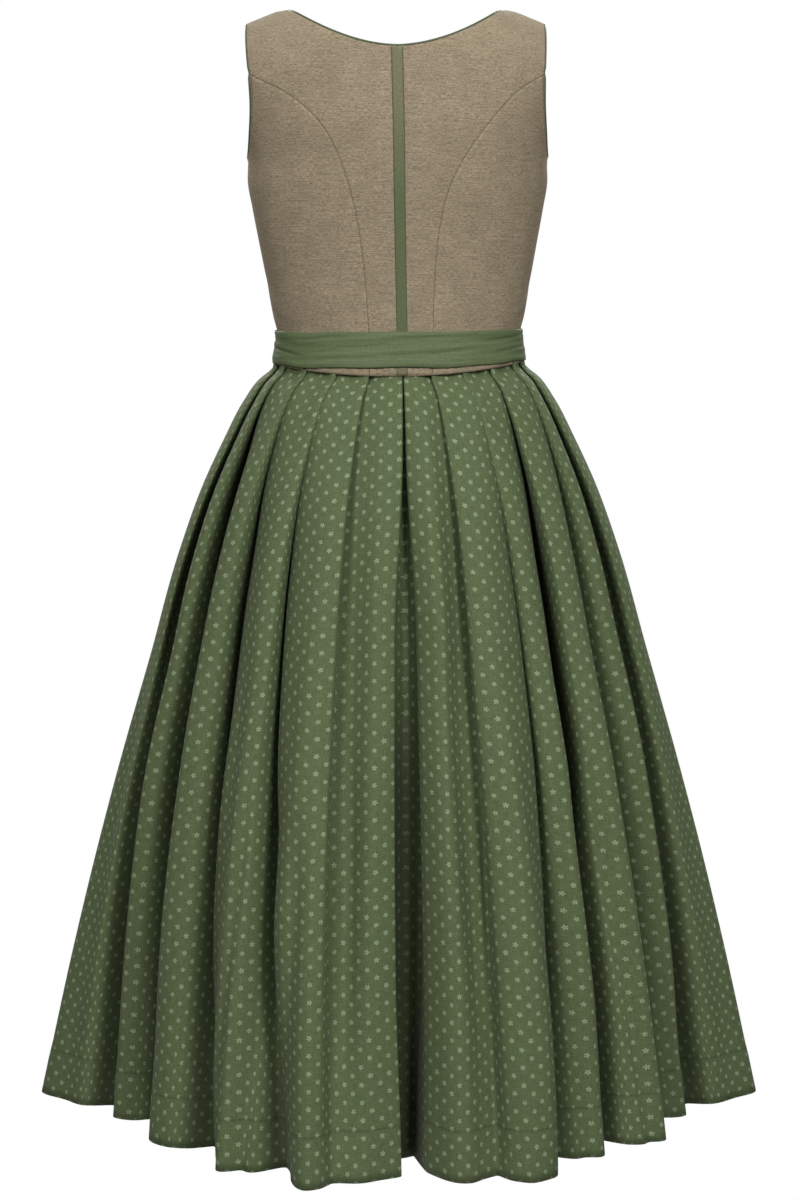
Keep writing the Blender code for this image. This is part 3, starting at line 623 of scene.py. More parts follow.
def raise_bump(tree, shader, height, distance, strength):
    bump = node(tree, "Bump", {"Height": height, "Distance": distance, "Strength": strength})
    tree.links.new(bump.outputs[0], shader.inputs["Normal"])


def slub_linen(name, colours):
    """Taupe melange linen, unevenly spun: matt, with short thick weft slubs and a dry hand."""
    made, tree, shader = new_material(name, Roughness=0.88, Sheen_Weight=0.05, Sheen_Roughness=0.5)
    shader.inputs["Specular IOR Level"].default_value = 0.25
    u, v = cloth_coordinates(tree)
    weft = streaks(tree, u, v, 0.0046, 0.0008)
    long_weft = streaks(tree, u, v, 0.032, 0.0011, 2.0)
    warp = streaks(tree, v, u, 0.0036, 0.0008)
    cloudy = streaks(tree, u, v, 0.030, 0.036, 2.0)
    tone = plus(tree, times(tree, weft, 0.45), times(tree, warp, 0.33))
    tone = plus(tree, tone, times(tree, long_weft, 0.22))
    melange = blend_colour(tree, ramp(tree, tone, 0.36, 0.64), colours.linen_dark, colours.linen_light)
    thin = ramp(tree, streaks(tree, u, v, 0.018, 0.0010, 1.0), 0.60, 0.72, 0.0, 0.30)
    melange = blend_colour(tree, thin, melange, colours.linen_seam)
    flecks = ramp(tree, streaks(tree, u, v, 0.0016, 0.0011, 1.0), 0.56, 0.74, 0.0, 0.5)
    melange = blend_colour(tree, flecks, melange, colours.linen_fleck)
    clouds = ramp(tree, cloudy, 0.3, 0.7, 0.0, 0.22)
    melange = blend_colour(tree, clouds, melange, colours.linen_dark)
    # Seam lines: dashed stitches over a continuous darker line of painted shade along the stitched seam.
    seam = node(tree, "Attribute", attribute_name="seam").outputs[2]
    stitches = sums(tree, "GREATER_THAN", wave(tree, v, SEAM_STITCH), -0.35)
    line = times(tree, ramp(tree, seam, 0.0005, 0.0013, 1.0, 0.0), 0.95)
    line = times(tree, line, plus(tree, times(tree, stitches, 0.35), 0.65))
    tree.links.new(blend_colour(tree, line, melange, colours.linen_seam), shader.inputs["Base Color"])
    height = plus(tree, times(tree, plain_weave(tree, u, v, LINEN_THREAD), 0.5), times(tree, weft, 0.6))
    raise_bump(tree, shader, height, 0.00022, 0.55)
    return made


def blossom_mask(tree, u, v, pitches, radius, shift, seed):
    """Small five-petalled blossoms on a square lattice, each turned its own way."""
    cells = []
    ids = []
    for value, pitch in zip((u, v), pitches):
        scaled = plus(tree, sums(tree, "DIVIDE", value, pitch), shift)
        whole = sums(tree, "FLOOR", scaled)
        ids.append(whole)
        inside = sums(tree, "SUBTRACT", scaled, whole)
        cells.append(times(tree, sums(tree, "SUBTRACT", inside, 0.5), pitch))
    key = node(tree, "CombineXYZ", {0: ids[0], 1: ids[1], 2: seed}).outputs[0]
    chance = node(tree, "TexWhiteNoise", {"Vector": key}, noise_dimensions="3D").outputs[0]
    squares = plus(tree, times(tree, cells[0], cells[0]), times(tree, cells[1], cells[1]))
    reach = sums(tree, "SQRT", squares)
    turn = plus(tree, sums(tree, "ARCTAN2", cells[1], cells[0]), times(tree, chance, 6.28))
    lobes = sums(tree, "ABSOLUTE", sums(tree, "COSINE", times(tree, turn, 2.5)))
    outline = times(tree, plus(tree, times(tree, lobes, 0.72), 0.28), radius)
    outline = times(tree, outline, plus(tree, times(tree, chance, 0.16), 0.92))
    gap = sums(tree, "SUBTRACT", reach, outline)
    petals = ramp(tree, gap, -0.00035, 0.0002, 1.0, 0.0)
    heart = ramp(tree, reach, 0.0003, 0.0009, 0.25, 1.0)
    return times(tree, petals, heart)


def printed_cotton(name, colours, sizes):
    """Green plain-weave cotton with a small pale blossom print: a smooth face with a soft lustre."""
    made, tree, shader = new_material(name, Roughness=0.74, Sheen_Weight=0.05, Sheen_Roughness=0.4)
    shader.inputs["Specular IOR Level"].default_value = 0.22
    u, v = cloth_coordinates(tree)
    weft = streaks(tree, u, v, 0.009, 0.0009)
    warp = streaks(tree, v, u, 0.010, 0.0009)
    tone = ramp(tree, plus(tree, times(tree, weft, 0.5), times(tree, warp, 0.5)), 0.35, 0.65)
    ground = blend_colour(tree, tone, colours.cotton_dark, colours.cotton)
    pitch, radius = (sizes.blossom_across, sizes.blossom_along), sizes.blossom_radius
    first = blossom_mask(tree, u, v, pitch, radius, 0.0, 3.0)
    second = blossom_mask(tree, u, v, pitch, radius, 0.5, 7.0)
    blossoms = times(tree, sums(tree, "MAXIMUM", first, second), ramp(tree, tone, 0.0, 1.0, 0.72, 0.98))
    colour = blend_colour(tree, blossoms, ground, colours.blossom)
    turned_up = sums(tree, "ABSOLUTE", sums(tree, "SUBTRACT", v, sizes.hem_turn_up))
    stitch = sums(tree, "GREATER_THAN", wave(tree, u, HEM_STITCH), 0.1)
    line = times(tree, ramp(tree, turned_up, 0.0003, 0.0010, 0.42, 0.0), stitch)
    colour = blend_colour(tree, line, colour, colours.cotton_stitch_and_painted_shade)
    # Painted shadow: a soft dark band along the hem's turned-up edge.
    hem_painted_shadow = ramp(tree, turned_up, 0.0, 0.0030, 0.34, 0.0)
    colour = blend_colour(tree, hem_painted_shadow, colour, colours.cotton_stitch_and_painted_shade)
    # Painted shade: the fold attribute darkens the print towards a near-black green inside the skirt's folds.
    inside = node(tree, "Attribute", attribute_name="fold").outputs[2]
    fold = ramp(tree, inside, 0.22, 1.0, 0.0, sizes.painted_fold_shade)
    tree.links.new(blend_colour(tree, fold, colour, colours.cotton_painted_shade), shader.inputs["Base Color"])
    weave = times(tree, plain_weave(tree, u, v, COTTON_THREAD), 0.35)
    slack = streaks(tree, u, v, 0.030, 0.045, 3.0)
    height = plus(tree, weave, times(tree, slack, 1.2))
    raise_bump(tree, shader, height, 0.0004, 0.5)
    return made


def belt_taffeta(name, colours):
    """Green yarn-dyed taffeta: a fine crosswise rib, cross-lit threads and a low sheen on its folds."""
    made, tree, shader = new_material(name, Roughness=0.6, Sheen_Weight=0.08, Sheen_Roughness=0.35)
    shader.inputs["Specular IOR Level"].default_value = 0.35
    u, v = cloth_coordinates(tree)
    threads = streaks(tree, u, v, 0.020, 0.0007)
    bands = streaks(tree, u, v, 0.120, 0.0050, 2.0)
    grain = streaks(tree, u, v, 0.0022, 0.0013, 2.0)
    tone = plus(tree, times(tree, threads, 0.35), times(tree, bands, 0.25))
    tone = plus(tree, tone, times(tree, grain, 0.40))
    colour = blend_colour(tree, ramp(tree, tone, 0.34, 0.66), colours.belt_dark, colours.belt)
    fleck = ramp(tree, streaks(tree, u, v, 0.0020, 0.0009, 1.0), 0.58, 0.76, 0.0, 0.30)
    colour = blend_colour(tree, fleck, colour, colours.belt_fleck)
    tree.links.new(colour, shader.inputs["Base Color"])
    height = plus(tree, times(tree, threads, 0.5), times(tree, bands, 0.7))
    raise_bump(tree, shader, height, 0.00035, 0.6)
    return made


def ribbed_ribbon(name, colours):
    """Green grosgrain ribbon: cross ribs under a millimetre apart, a woven edge and a dull gleam."""
    made, tree, shader = new_material(name, Roughness=0.6, Sheen_Weight=0.15, Sheen_Roughness=0.4)
    shader.inputs["Specular IOR Level"].default_value = 0.3
    u, v = cloth_coordinates(tree)
    speckle = streaks(tree, u, v, 0.0022, 0.0016, 2.0)
    height_share = ramp(tree, v, -0.02, 0.11)
    ground = blend_colour(tree, height_share, colours.ribbon_low, colours.ribbon_top)
    low = ramp(tree, v, -0.181, -0.176, 1.0, 0.0)
    ground = blend_colour(tree, low, ground, colours.ribbon_under)
    edge = ramp(tree, sums(tree, "ABSOLUTE", u), 0.0040, 0.0056, 0.0, 0.7)
    ground = blend_colour(tree, edge, ground, colours.ribbon_edge)
    colour = blend_colour(tree, ramp(tree, speckle, 0.35, 0.7, 0.0, 0.6), ground, colours.ribbon_edge)
    tree.links.new(colour, shader.inputs["Base Color"])
    ribs = sums(tree, "ABSOLUTE", wave(tree, v, 2 * RIBBON_RIB))
    raise_bump(tree, shader, ribs, 0.0002, 0.5)
    return made


def satin_piping(name, colours):
    """Dark green bias satin over a cord: smooth, with a soft glow along its top."""
    made, tree, shader = new_material(name, Roughness=0.45, Sheen_Weight=0.2, Sheen_Roughness=0.3)
    u, v = cloth_coordinates(tree)
    twist = plus(tree, u, times(tree, v, 0.8))
    ribs = sums(tree, "ABSOLUTE", wave(tree, twist, 2 * SATIN_RIB))
    # Painted light: random streaks between the piping's lit colour and its painted shade.
    tone = ramp(tree, streaks(tree, u, v, 0.006, 0.0012, 2.0), 0.3, 0.7)
    tree.links.new(blend_colour(tree, tone, colours.piping_painted_shade, colours.piping), shader.inputs["Base Color"])
    raise_bump(tree, shader, ribs, 0.00008, 0.5)
    return made


def turned_horn(name, colours):
    """Brown horn, turned and polished: cloudy streaks under a satin surface."""
    made, tree, shader = new_material(name, Roughness=0.32, Coat_Weight=0.25, Coat_Roughness=0.18)
    place = node(tree, "TexCoord").outputs["Object"]
    streaked = {"Vector": place, "Rotation": (0.3, 0.5, 0.2), "Scale": (260, 260, 60)}
    drawn = node(tree, "Mapping", streaked).outputs[0]
    inputs = {"Vector": drawn, "Scale": 1.0, "Detail": 4.0, "Distortion": 0.6}
    cloud = ramp(tree, node(tree, "TexNoise", inputs).outputs[0], 0.35, 0.65)
    tree.links.new(blend_colour(tree, cloud, colours.horn_dark, colours.horn), shader.inputs["Base Color"])
    return made


def painted_backdrop(name, colour):
    """Matt white studio paper."""
    made, tree, shader = new_material(name, Roughness=0.95)
    place = node(tree, "TexCoord").outputs["Object"]
    grain = node(tree, "TexNoise", {"Vector": place, "Scale": 6.0, "Detail": 2.0}).outputs[0]
    pale = tuple(0.985 * value for value in colour)
    tree.links.new(blend_colour(tree, grain, pale, tuple(colour)), shader.inputs["Base Color"])
    return made


# ---- Bodice ---------------------------------------------------------------------------------------
def coons(left, right, bottom, top, across, up):
    """Rows of pairs between four edges of pairs that meet at their ends, read at shares of each."""
    u, v = across[None, :, None], up[:, None, None]
    ruled = mix(bottom[None], top[None], v) + mix(left[:, None], right[:, None], u)
    low = mix(bottom[0][None, None], bottom[-1][None, None], u)
    high = mix(top[0][None, None], top[-1][None, None], u)
    return ruled - mix(low, high, v)


def eased(count, share):
    """Shares from 0 to 1 that lie closer together at both ends."""
    even = np.linspace(0.0, 1.0, count + 1)
    return mix(even, 0.5 - 0.5 * np.cos(math.pi * even), share)


def edge_pairs(points, front):
    return np.stack([angle_at(points[:, 0], points[:, 1], front), points[:, 1]], -1)


def waist_pairs(start, end, shares):
    angles = mix(start, end, shares)
    return np.stack([angles, waist_at(angles)], -1)


def outer_edge(princess, armhole, front):
    seam = seam_line(princess, np.linspace(0, 1, PRINCESS_STEPS * FINE + 1))[::-1]
    shares = np.linspace(0, 1, ARMHOLE_STEPS * FINE + 1) ** SHOULDER_GATHER
    upper = seam_line(armhole, shares)[::-1]
    pairs = edge_pairs(np.vstack([seam, upper[1:]]), front)
    pairs[0, 1] = waist_at(pairs[0, 0])
    return pairs


def neckline_points(front):
    xs = np.maximum(NECK_POINT_X * np.sin(np.linspace(0, math.pi / 2, 200)), 0.00005)
    line = np.stack([xs, (front_neck if front else back_neck)(xs)], -1)[::-1]
    steps = PRINCESS_STEPS + ARMHOLE_STEPS - (FRONT_CENTRE_STEPS if front else BACK_CENTRE_STEPS)
    return seam_line(line, np.linspace(0, 1, steps * FINE + 1) ** SHOULDER_GATHER)[::-1]


def centre_panel(princess, armhole, front, across):
    """(angle, z) rows from the centre line and the neckline out, the shoulder seam along the top."""
    right = outer_edge(princess, armhole, front)
    low = float(waist_at(np.array(math.pi if front else 0.0)))
    neck = neckline_points(front)
    steps = (FRONT_CENTRE_STEPS if front else BACK_CENTRE_STEPS) * FINE
    heights = np.linspace(low, neck[0, 1], steps + 1)
    centre = np.stack([np.full(steps + 1, neck[0, 0]), heights], -1)
    left = edge_pairs(np.vstack([centre, neck[1:]]), front)
    tip = armhole[0]
    top = np.stack([mix(NECK_POINT_X, tip.x, across), tip.z * across], -1)
    top = edge_pairs(top, front)
    top[0], top[-1] = left[-1], right[-1]
    bottom = waist_pairs(left[0, 0], right[0, 0], across)
    left[0] = bottom[0]
    up = np.linspace(0, 1, len(left))
    return coons(left, right, bottom, top, across, up)


def side_panel(princess, armhole, front, across):
    left = edge_pairs(seam_line(princess, np.linspace(0, 1, PRINCESS_STEPS * FINE + 1))[::-1], front)
    bottom = waist_pairs(left[0, 0], math.pi / 2, across)
    top = edge_pairs(seam_line(armhole, across), front)
    top[0], top[-1] = left[-1], (math.pi / 2, UNDERARM_Z)
    left[0] = bottom[0]
    count = len(left) - 1
    heights = np.linspace(bottom[-1, 1], UNDERARM_Z, count + 1)
    right = np.stack([np.full(count + 1, math.pi / 2), heights], -1)
    return coons(left, right, bottom, top, across, np.linspace(0, 1, count + 1))


def crease_depth(creases, angle, z, girth):
    """Depth of soft creases that run between two (degrees, z) ends and fade out at them."""
    depth = np.zeros_like(z)
    for row in creases:
        start, end = math.radians(row.from_degrees), math.radians(row.to_degrees)
        share = (angle - start) / (end - start)
        line = mix(row.from_share, row.to_share, np.clip(share, 0, 1))
        ends = smoothstep(0.0, 0.3, share) * smoothstep(1.0, 0.7, share)
        away = (z - line) * girth
        depth += row.depth * ends * np.exp(-((away / row.width) ** 2))
    return depth


def wrapped(angle):
    """Angles brought into -180 to 180 degrees."""
    return (angle + math.pi) % (2 * math.pi) - math.pi


def panel_points(pairs, mirrored, front, kind):
    """A panel's points, its cloth map and its distance from the nearest stitched seam."""
    angle = -pairs[..., 0] if mirrored else pairs[..., 0]
    z = pairs[..., 1]
    flat = torso(angle, z)
    cloth = along_cloth(pairs[..., 0], z, front) * ((-1 if mirrored else 1), 1)
    from_left = run_lengths(flat)
    from_right = from_left[:, -1:] - from_left
    from_bottom = run_lengths(flat.transpose(1, 0, 2)).T
    rows = len(pairs)
    princess_rows = PRINCESS_STEPS * FINE
    below = np.arange(rows)[:, None] <= princess_rows
    fade = np.where(below, 1.0, np.exp(-((np.arange(rows)[:, None] - princess_rows) / 2.0) ** 2))
    if kind == "centre":
        seam = np.where(fade > 0.5, from_right, 1.0)
        centre_rows = (FRONT_CENTRE_STEPS if front else BACK_CENTRE_STEPS) * FINE
        side = np.where(np.arange(rows)[:, None] <= centre_rows, from_left, 1.0)
        nearest = np.minimum(seam, side)
    else:
        nearest = np.minimum(from_left, from_right)
    dip = 0.0011 * np.exp(-((nearest / 0.0011) ** 2))
    dip += crease_depth(BODICE_CREASES, wrapped(angle), z, 1.0)
    arc = cloth[..., 0]
    strip = smoothstep(-0.374, -0.380, z)
    wide = np.sin(arc * 2 * math.pi / 0.023 + 3 * np.sin(arc * 61))
    puckers = wide * np.sin(arc * 2 * math.pi / 0.0113 + 1.7)
    dip += 0.0007 * strip * puckers
    dip += 0.0006 * np.exp(-((from_bottom / 0.0015) ** 2))
    if kind == "centre":
        neck = np.where(np.arange(rows)[:, None] >= centre_rows, from_left, 1.0)
        dip += 0.0005 * np.exp(-((neck / 0.002) ** 2))
    points = flat - outward(angle, z) * dip[..., None]
    return points, cloth, nearest


def bodice_grids():
    across = eased(PANEL_COLUMNS, 0.75)
    return {
        "back_centre": (centre_panel(BACK_PRINCESS, BACK_ARMHOLE_UPPER, False, across), False, "centre"),
        "back_side": (side_panel(BACK_PRINCESS, BACK_ARMHOLE_LOWER, False, across), False, "side"),
        "front_side": (side_panel(FRONT_PRINCESS, FRONT_ARMHOLE_LOWER, True, across), True, "side"),
        "front_centre": (centre_panel(FRONT_PRINCESS, FRONT_ARMHOLE_UPPER, True, across), True, "centre"),
    }


def build_bodice(settings):
    finish = slub_linen("taupe_slub_linen", settings.colours)
    for panel, (pairs, front, kind) in bodice_grids().items():
        for side in ("left", "right"):
            name = "linen_%s_%s" % (panel, side)
            points, cloth, seam = panel_points(pairs, side == "right", front, kind)
            mesh = cloth_mesh(name, points, cloth)
            attribute(mesh, "seam", seam)
            face_outwards(mesh)
            target = "bodice_%s_%s" % (panel, side)
            obj = piece(name, mesh, finish, "linen", target)
            thicken(obj, settings.sizes.linen_wall, 1)


# ---- Ribbon, placket, piping, belt and buttons -----------------------------------------------------
def centre_strip(width, front, low, high, out):
    """Points and cloth map of a strip sewn flat over a centre seam."""
    z = np.linspace(low, high, 90)[:, None]
    taper = width * (1 if front else mix(0.89, 1.02, (z - low) / (high - low)))
    x = np.linspace(-0.5, 0.5, 13)[None, :] * taper
    x, z = np.broadcast_arrays(x, z)
    angle = angle_at(x, z, front)
    edge = np.exp(-(((taper / 2 - np.abs(x)) / 0.0006) ** 2))
    lift = out - 0.0003 * edge
    points = torso(angle, z) + outward(angle, z) * lift[..., None]
    rise = along_cloth(np.full_like(z, math.pi if front else 0.0), z, front)[..., 1]
    return points, np.stack([x, rise], -1)


def build_strips(settings):
    sizes = settings.sizes
    out = sizes.linen_wall + STRIP_GAP
    ribbon = ribbed_ribbon("green_grosgrain", settings.colours)
    low = float(waist_at(np.array(0.0))) + STRIP_END
    points, cloth = centre_strip(sizes.ribbon_width, False, low, -BACK_NECK_DEPTH - STRIP_END, out)
    mesh = cloth_mesh("grosgrain_centre_back", points, cloth)
    face_outwards(mesh)
    obj = piece("grosgrain_centre_back", mesh, ribbon, "grosgrain_ribbon", "back_ribbon")
    thicken(obj, RIBBON_WALL, 1)
    linen = slub_linen("stitched_placket_linen", settings.colours)
    low = float(waist_at(np.array(math.pi))) + STRIP_END
    points, cloth = centre_strip(sizes.placket_width, True, low, -FRONT_NECK_DEPTH - STRIP_END, out)
    mesh = cloth_mesh("linen_button_placket", points, cloth)
    attribute(mesh, "seam", np.abs(sizes.placket_width / 2 - EDGE_STITCH - np.abs(cloth[..., 0])))
    face_outwards(mesh)
    obj = piece("linen_button_placket", mesh, linen, "linen", "front_placket")
    thicken(obj, PLACKET_WALL, 1)


def rim(edge_points, inner_points, wall, radius):
    """Centres of the piping beside an edge, given the panel's points just inside it."""
    along = np.gradient(edge_points, axis=0)
    along /= np.linalg.norm(along, axis=1, keepdims=True)
    away = edge_points - inner_points
    away -= along * (away * along).sum(1, keepdims=True)
    away /= np.linalg.norm(away, axis=1, keepdims=True)
    normal = np.cross(along, away)
    middle = np.stack([0 * edge_points[:, 0], 0 * edge_points[:, 0], edge_points[:, 2] - 0.06], -1)
    normal *= np.sign((normal * (edge_points - middle)).sum(1, keepdims=True))
    return edge_points + normal * wall / 2 + away * radius * 0.75


def build_piping(settings):
    sizes = settings.sizes
    green = satin_piping("dark_green_satin", settings.colours)
    wall, radius = sizes.linen_wall, sizes.piping_radius
    grids = bodice_grids()
    sides = {}
    for side in ("left", "right"):
        panels = {
            name: panel_points(pairs, side == "right", front, kind)[0]
            for name, (pairs, front, kind) in grids.items()
        }
        sides[side] = panels
        tops = []
        for half in ("back", "front"):
            upper = panels[half + "_centre"][PRINCESS_STEPS * FINE : -1][::-1]
            lower = panels[half + "_side"]
            line = np.vstack([upper[:, -1], lower[-1, 1:-1]])
            inner = np.vstack([upper[:, -4], lower[-5, 1:-1]])
            tops.append(rim(line, inner, wall, radius)[1:])
        ring = np.vstack([tops[0], tops[1][::-1]])
        name = "satin_armhole_" + side
        cord = tube_mesh(name, smoothed(ring), radius)
        piece(name, cord, green, "satin_piping", "armhole_piping_" + side)
    route = []
    for side in ("left", "right"):
        front = sides[side]["front_centre"][FRONT_CENTRE_STEPS * FINE : -1]
        back = sides[side]["back_centre"][BACK_CENTRE_STEPS * FINE : -1][::-1]
        up = rim(front[:, 0], front[:, 4], wall, radius)
        down = rim(back[:, 0], back[:, 4], wall, radius)
        part = np.vstack([up, down])
        route.append(part if side == "left" else part[::-1][1:])
    cord = tube_mesh("satin_neckline", smoothed(np.vstack(route)), radius)
    piece("satin_neckline", cord, green, "satin_piping", "neck_piping")


def smoothed(path):
    """A closed path evenly respaced and gently smoothed."""
    loop = np.vstack([path, path[:1]])
    length = run_lengths(loop)
    at = np.linspace(0, length[-1], 321)
    even = np.stack([np.interp(at, length, loop[:, i]) for i in range(3)], -1)[:-1]
    for _ in range(3):
        even = (np.roll(even, 1, 0) + 2 * even + np.roll(even, -1, 0)) / 4
    return even


def build_belt(settings):
    count, rows = 420, 30
    extra = BELT_OVERLAP / float(body_section(np.array(BELT_TOP_Z))[2])
    share = np.linspace(0, 1, rows + 1)[:, None]
    angle = np.linspace(-math.pi - extra, math.pi + extra, count + 1)[None, :]
    share, angle = np.broadcast_arrays(share, angle)
    lap = smoothstep(math.pi - extra * 1.9, math.pi - extra * 1.25, angle)
    dip = 0.0030 * np.maximum(0.0, np.cos(angle))
    turned = wrapped(angle)
    wave = 0.0007 * np.sin(turned * 5 + 0.6) + 0.0005 * np.sin(turned * 11 + 2.0)
    low = BELT_BOTTOM_Z - dip + wave + 0.0012 * smoothstep(0.2, -1.2, turned)
    high = BELT_TOP_Z + 0.6 * wave
    z = mix(low, high, share)
    height = BELT_TOP_Z - BELT_BOTTOM_Z
    depth = crease_depth(BELT_CREASES, turned, share, height)
    from_low, from_high = share * height / 0.0018, (1 - share) * height / 0.0018
    roll = 0.0010 * np.exp(-(from_low ** 2)) + 0.0010 * np.exp(-(from_high ** 2))
    ripple = 0.00022 * np.sin(share * 17 + np.sin(turned * 3) * 2.2)
    ripple = ripple + 0.00012 * np.sin(share * 31 + turned * 6)
    out = settings.sizes.linen_wall + BELT_CLEARANCE + 0.0004 + lap * BELT_LAP + ripple - depth - roll
    points = torso(angle, z) + outward(angle, z) * out[..., None]
    around = run_lengths(points[rows // 2][None])[0]
    cloth = np.stack([np.broadcast_to(around, share.shape), share * height], -1)
    mesh = cloth_mesh("taffeta_belt", points, cloth)
    face_outwards(mesh)
    finish = belt_taffeta("crumpled_green_taffeta", settings.colours)
    obj = piece("taffeta_belt", mesh, finish, "belt_taffeta", "belt")
    thicken(obj, BELT_WALL, -1)


def build_buttons(settings):
    """Dished horn buttons with a rolled rim and two sewn threads, turned from a profile."""
    horn = turned_horn("brown_horn", settings.colours)
    thread = satin_piping("button_thread", settings.colours)
    radius = settings.sizes.button_radius
    profile = (
        (0.0, 0.00150), (0.58, 0.00150), (0.66, 0.00170), (0.74, 0.00225), (0.84, 0.00245),
        (0.94, 0.00215), (1.0, 0.00140), (0.98, 0.00060), (0.88, 0.0), (0.0, 0.0),
    )
    for number in range(BUTTON_COUNT):
        z = np.array(BUTTON_TOP_Z - BUTTON_PITCH * number)
        shape = bmesh.new()
        points = [shape.verts.new((radius * r, 0.0, h)) for r, h in profile]
        for a, b in zip(points, points[1:]):
            shape.edges.new((a, b))
        bmesh.ops.spin(shape, geom=shape.verts[:] + shape.edges[:], cent=(0, 0, 0), axis=(0, 0, 1),
                       angle=2 * math.pi, steps=40, use_merge=True)
        bmesh.ops.remove_doubles(shape, verts=shape.verts, dist=0.00001)
        bmesh.ops.recalc_face_normals(shape, faces=shape.faces)
        for side in (-1, 1):
            made = bmesh.ops.create_cone(shape, cap_ends=True, segments=10, radius1=0.00035, radius2=0.00035,
                                         depth=0.0024)
            bmesh.ops.rotate(shape, verts=made["verts"], cent=(0, 0, 0),
                             matrix=Vector((0, 0, 1)).rotation_difference(Vector((1, 0, 0))).to_matrix())
            bmesh.ops.translate(shape, verts=made["verts"], vec=(0, side * 0.0007, 0.0016))
            for vert in made["verts"]:
                for face in vert.link_faces:
                    face.material_index = 1
        facing = Vector(outward(np.array(math.pi), z))
        lift = settings.sizes.linen_wall + STRIP_GAP + PLACKET_WALL + BUTTON_LIFT
        place = Vector(torso(np.array(math.pi), z)) + facing * lift
        turn = facing.to_track_quat("Z", "Y").to_matrix()
        bmesh.ops.rotate(shape, verts=shape.verts, cent=(0, 0, 0), matrix=turn)
        bmesh.ops.translate(shape, verts=shape.verts, vec=place)
        name = "horn_button_%d" % (number + 1)
        mesh = bpy.data.meshes.new(name)
        shape.to_mesh(mesh)
        shape.free()
        mesh.shade_smooth()
        mesh.uv_layers.new(name="cloth")
        obj = piece(name, mesh, horn, "button", "front_button_%d" % (number + 1))
        obj.data.materials.append(thread)


# ---- Skirt ----------------------------------------------------------------------------------------
Column = namedtuple("Column", "waist offset depth edge edge_r hem hem_r sink shade")


def waist_radius(angle):
    """Distance from the body's axis to the bodice's outer face at the waist seam."""
    half_width, back, front, power = body_section(np.full_like(angle, WAIST_SIDE_Z, float))
    depth = np.where(np.cos(angle) > 0, back, front)
    along = np.abs(np.sin(angle)) / half_width
    deep = np.abs(np.cos(angle)) / depth
    return (along ** power + deep ** power) ** (-1 / power) + 0.0016


def quarter_columns(pleats, centre_hem, front, sinks):
    """Guiding columns of one quarter from its centre line to its side, and which are folded edges."""
    first = pleats[0]
    centre = (0.0, 0.0) if front else (first.waist, first.edge)
    columns = [Column(centre[0], 0.0, 2 * LAYER, centre[1], first.edge_r, *centre_hem, 0.0, 1.0)]
    edges = []
    for here, after, sink, next_sink in zip(pleats, (*pleats[1:], None), sinks, (*sinks[1:], 0.0)):
        half_way = (mix(here.valley, here.edge, 0.55), mix(here.valley_r, here.edge_r, 0.62))
        inner = (mix(here.valley, here.edge, 0.12), mix(here.valley_r, here.edge_r, 0.10))
        turn = math.radians((after.waist if after else 90.0) - here.waist)
        start = math.radians(here.waist)
        pitch = turn * float(waist_radius(np.array(math.pi - start if front else start)))
        under = min(UNDERLAP, pitch - 0.0065)
        flat = min(PANEL_FLAT, pitch - 0.0045)
        # The last number of each state is its share of the painted fold shade.
        states = (
            (under + 0.0004, 2 * LAYER, here.valley, here.valley_r, 1.1 * sink, 1.0),
            (under, LAYER, *inner, sink, 1.0),
            (0.0003, LAYER, *half_way, 0.45 * sink, 0.7),
            (0.0, 0.0, here.edge, here.edge_r, 0.0, 0.0),
            (flat, 0.0, here.crest, here.crest_r, 0.0, 0.0),
        )
        strength, next_strength = min(1.0, 0.75 * sink), min(1.0, 0.75 * next_sink)
        for offset, depth, hem, hem_r, low, shade in states:
            shade *= 1.0 if here is first else strength
            columns.append(Column(here.waist, offset, depth, here.edge, here.edge_r, hem, hem_r, low, shade))
        to = after or here
        flank = (here.flank, here.flank_r, next_sink, 0.8 * next_strength)
        columns.append(Column(to.waist, -0.002, 2 * LAYER, to.edge, to.edge_r, *flank))
        edges.append(len(columns) - 3)
    last = pleats[-1]
    near_side = mix(last.waist, 90.0, 0.8)
    columns[-2] = Column(near_side, 0.0, 0.0, last.crest, last.crest_r, last.crest, last.crest_r, 0.0, 0.0)
    columns[-1] = Column(90.0, 0.0, 0.0, 90.0, last.flank_r, 90.0, last.flank_r, 0.0, 0.0)
    return columns, edges


def fold_share(down, sink):
    """How far a fold has sunk at each share of the drop: deep folds start sooner, and all slacken below."""
    reached = mix(0.28, 0.15, smoothstep(1.2, 1.8, sink))
    return smoothstep(0.0, reached, down) * mix(1.0, 0.5, smoothstep(0.6, 1.0, down))


def centre_parting(down):
    """Metres between the back's middle folds and their places in the table, down the drop."""
    return CENTRE_PARTING * smoothstep(0.10, 0.34, down) * mix(1.0, 0.35, smoothstep(0.75, 1.0, down))


def shade_share(down, middle_fold):
    """Share of a fold's painted shade down the drop: less is painted in the upper part of a middle fold,
    where light reaches in.
    """
    opened = mix(CENTRE_SHADE, 1.0, smoothstep(0.30, 0.60, down))
    return smoothstep(-0.02, 0.10, down) * np.where(middle_fold, opened, 1.0)


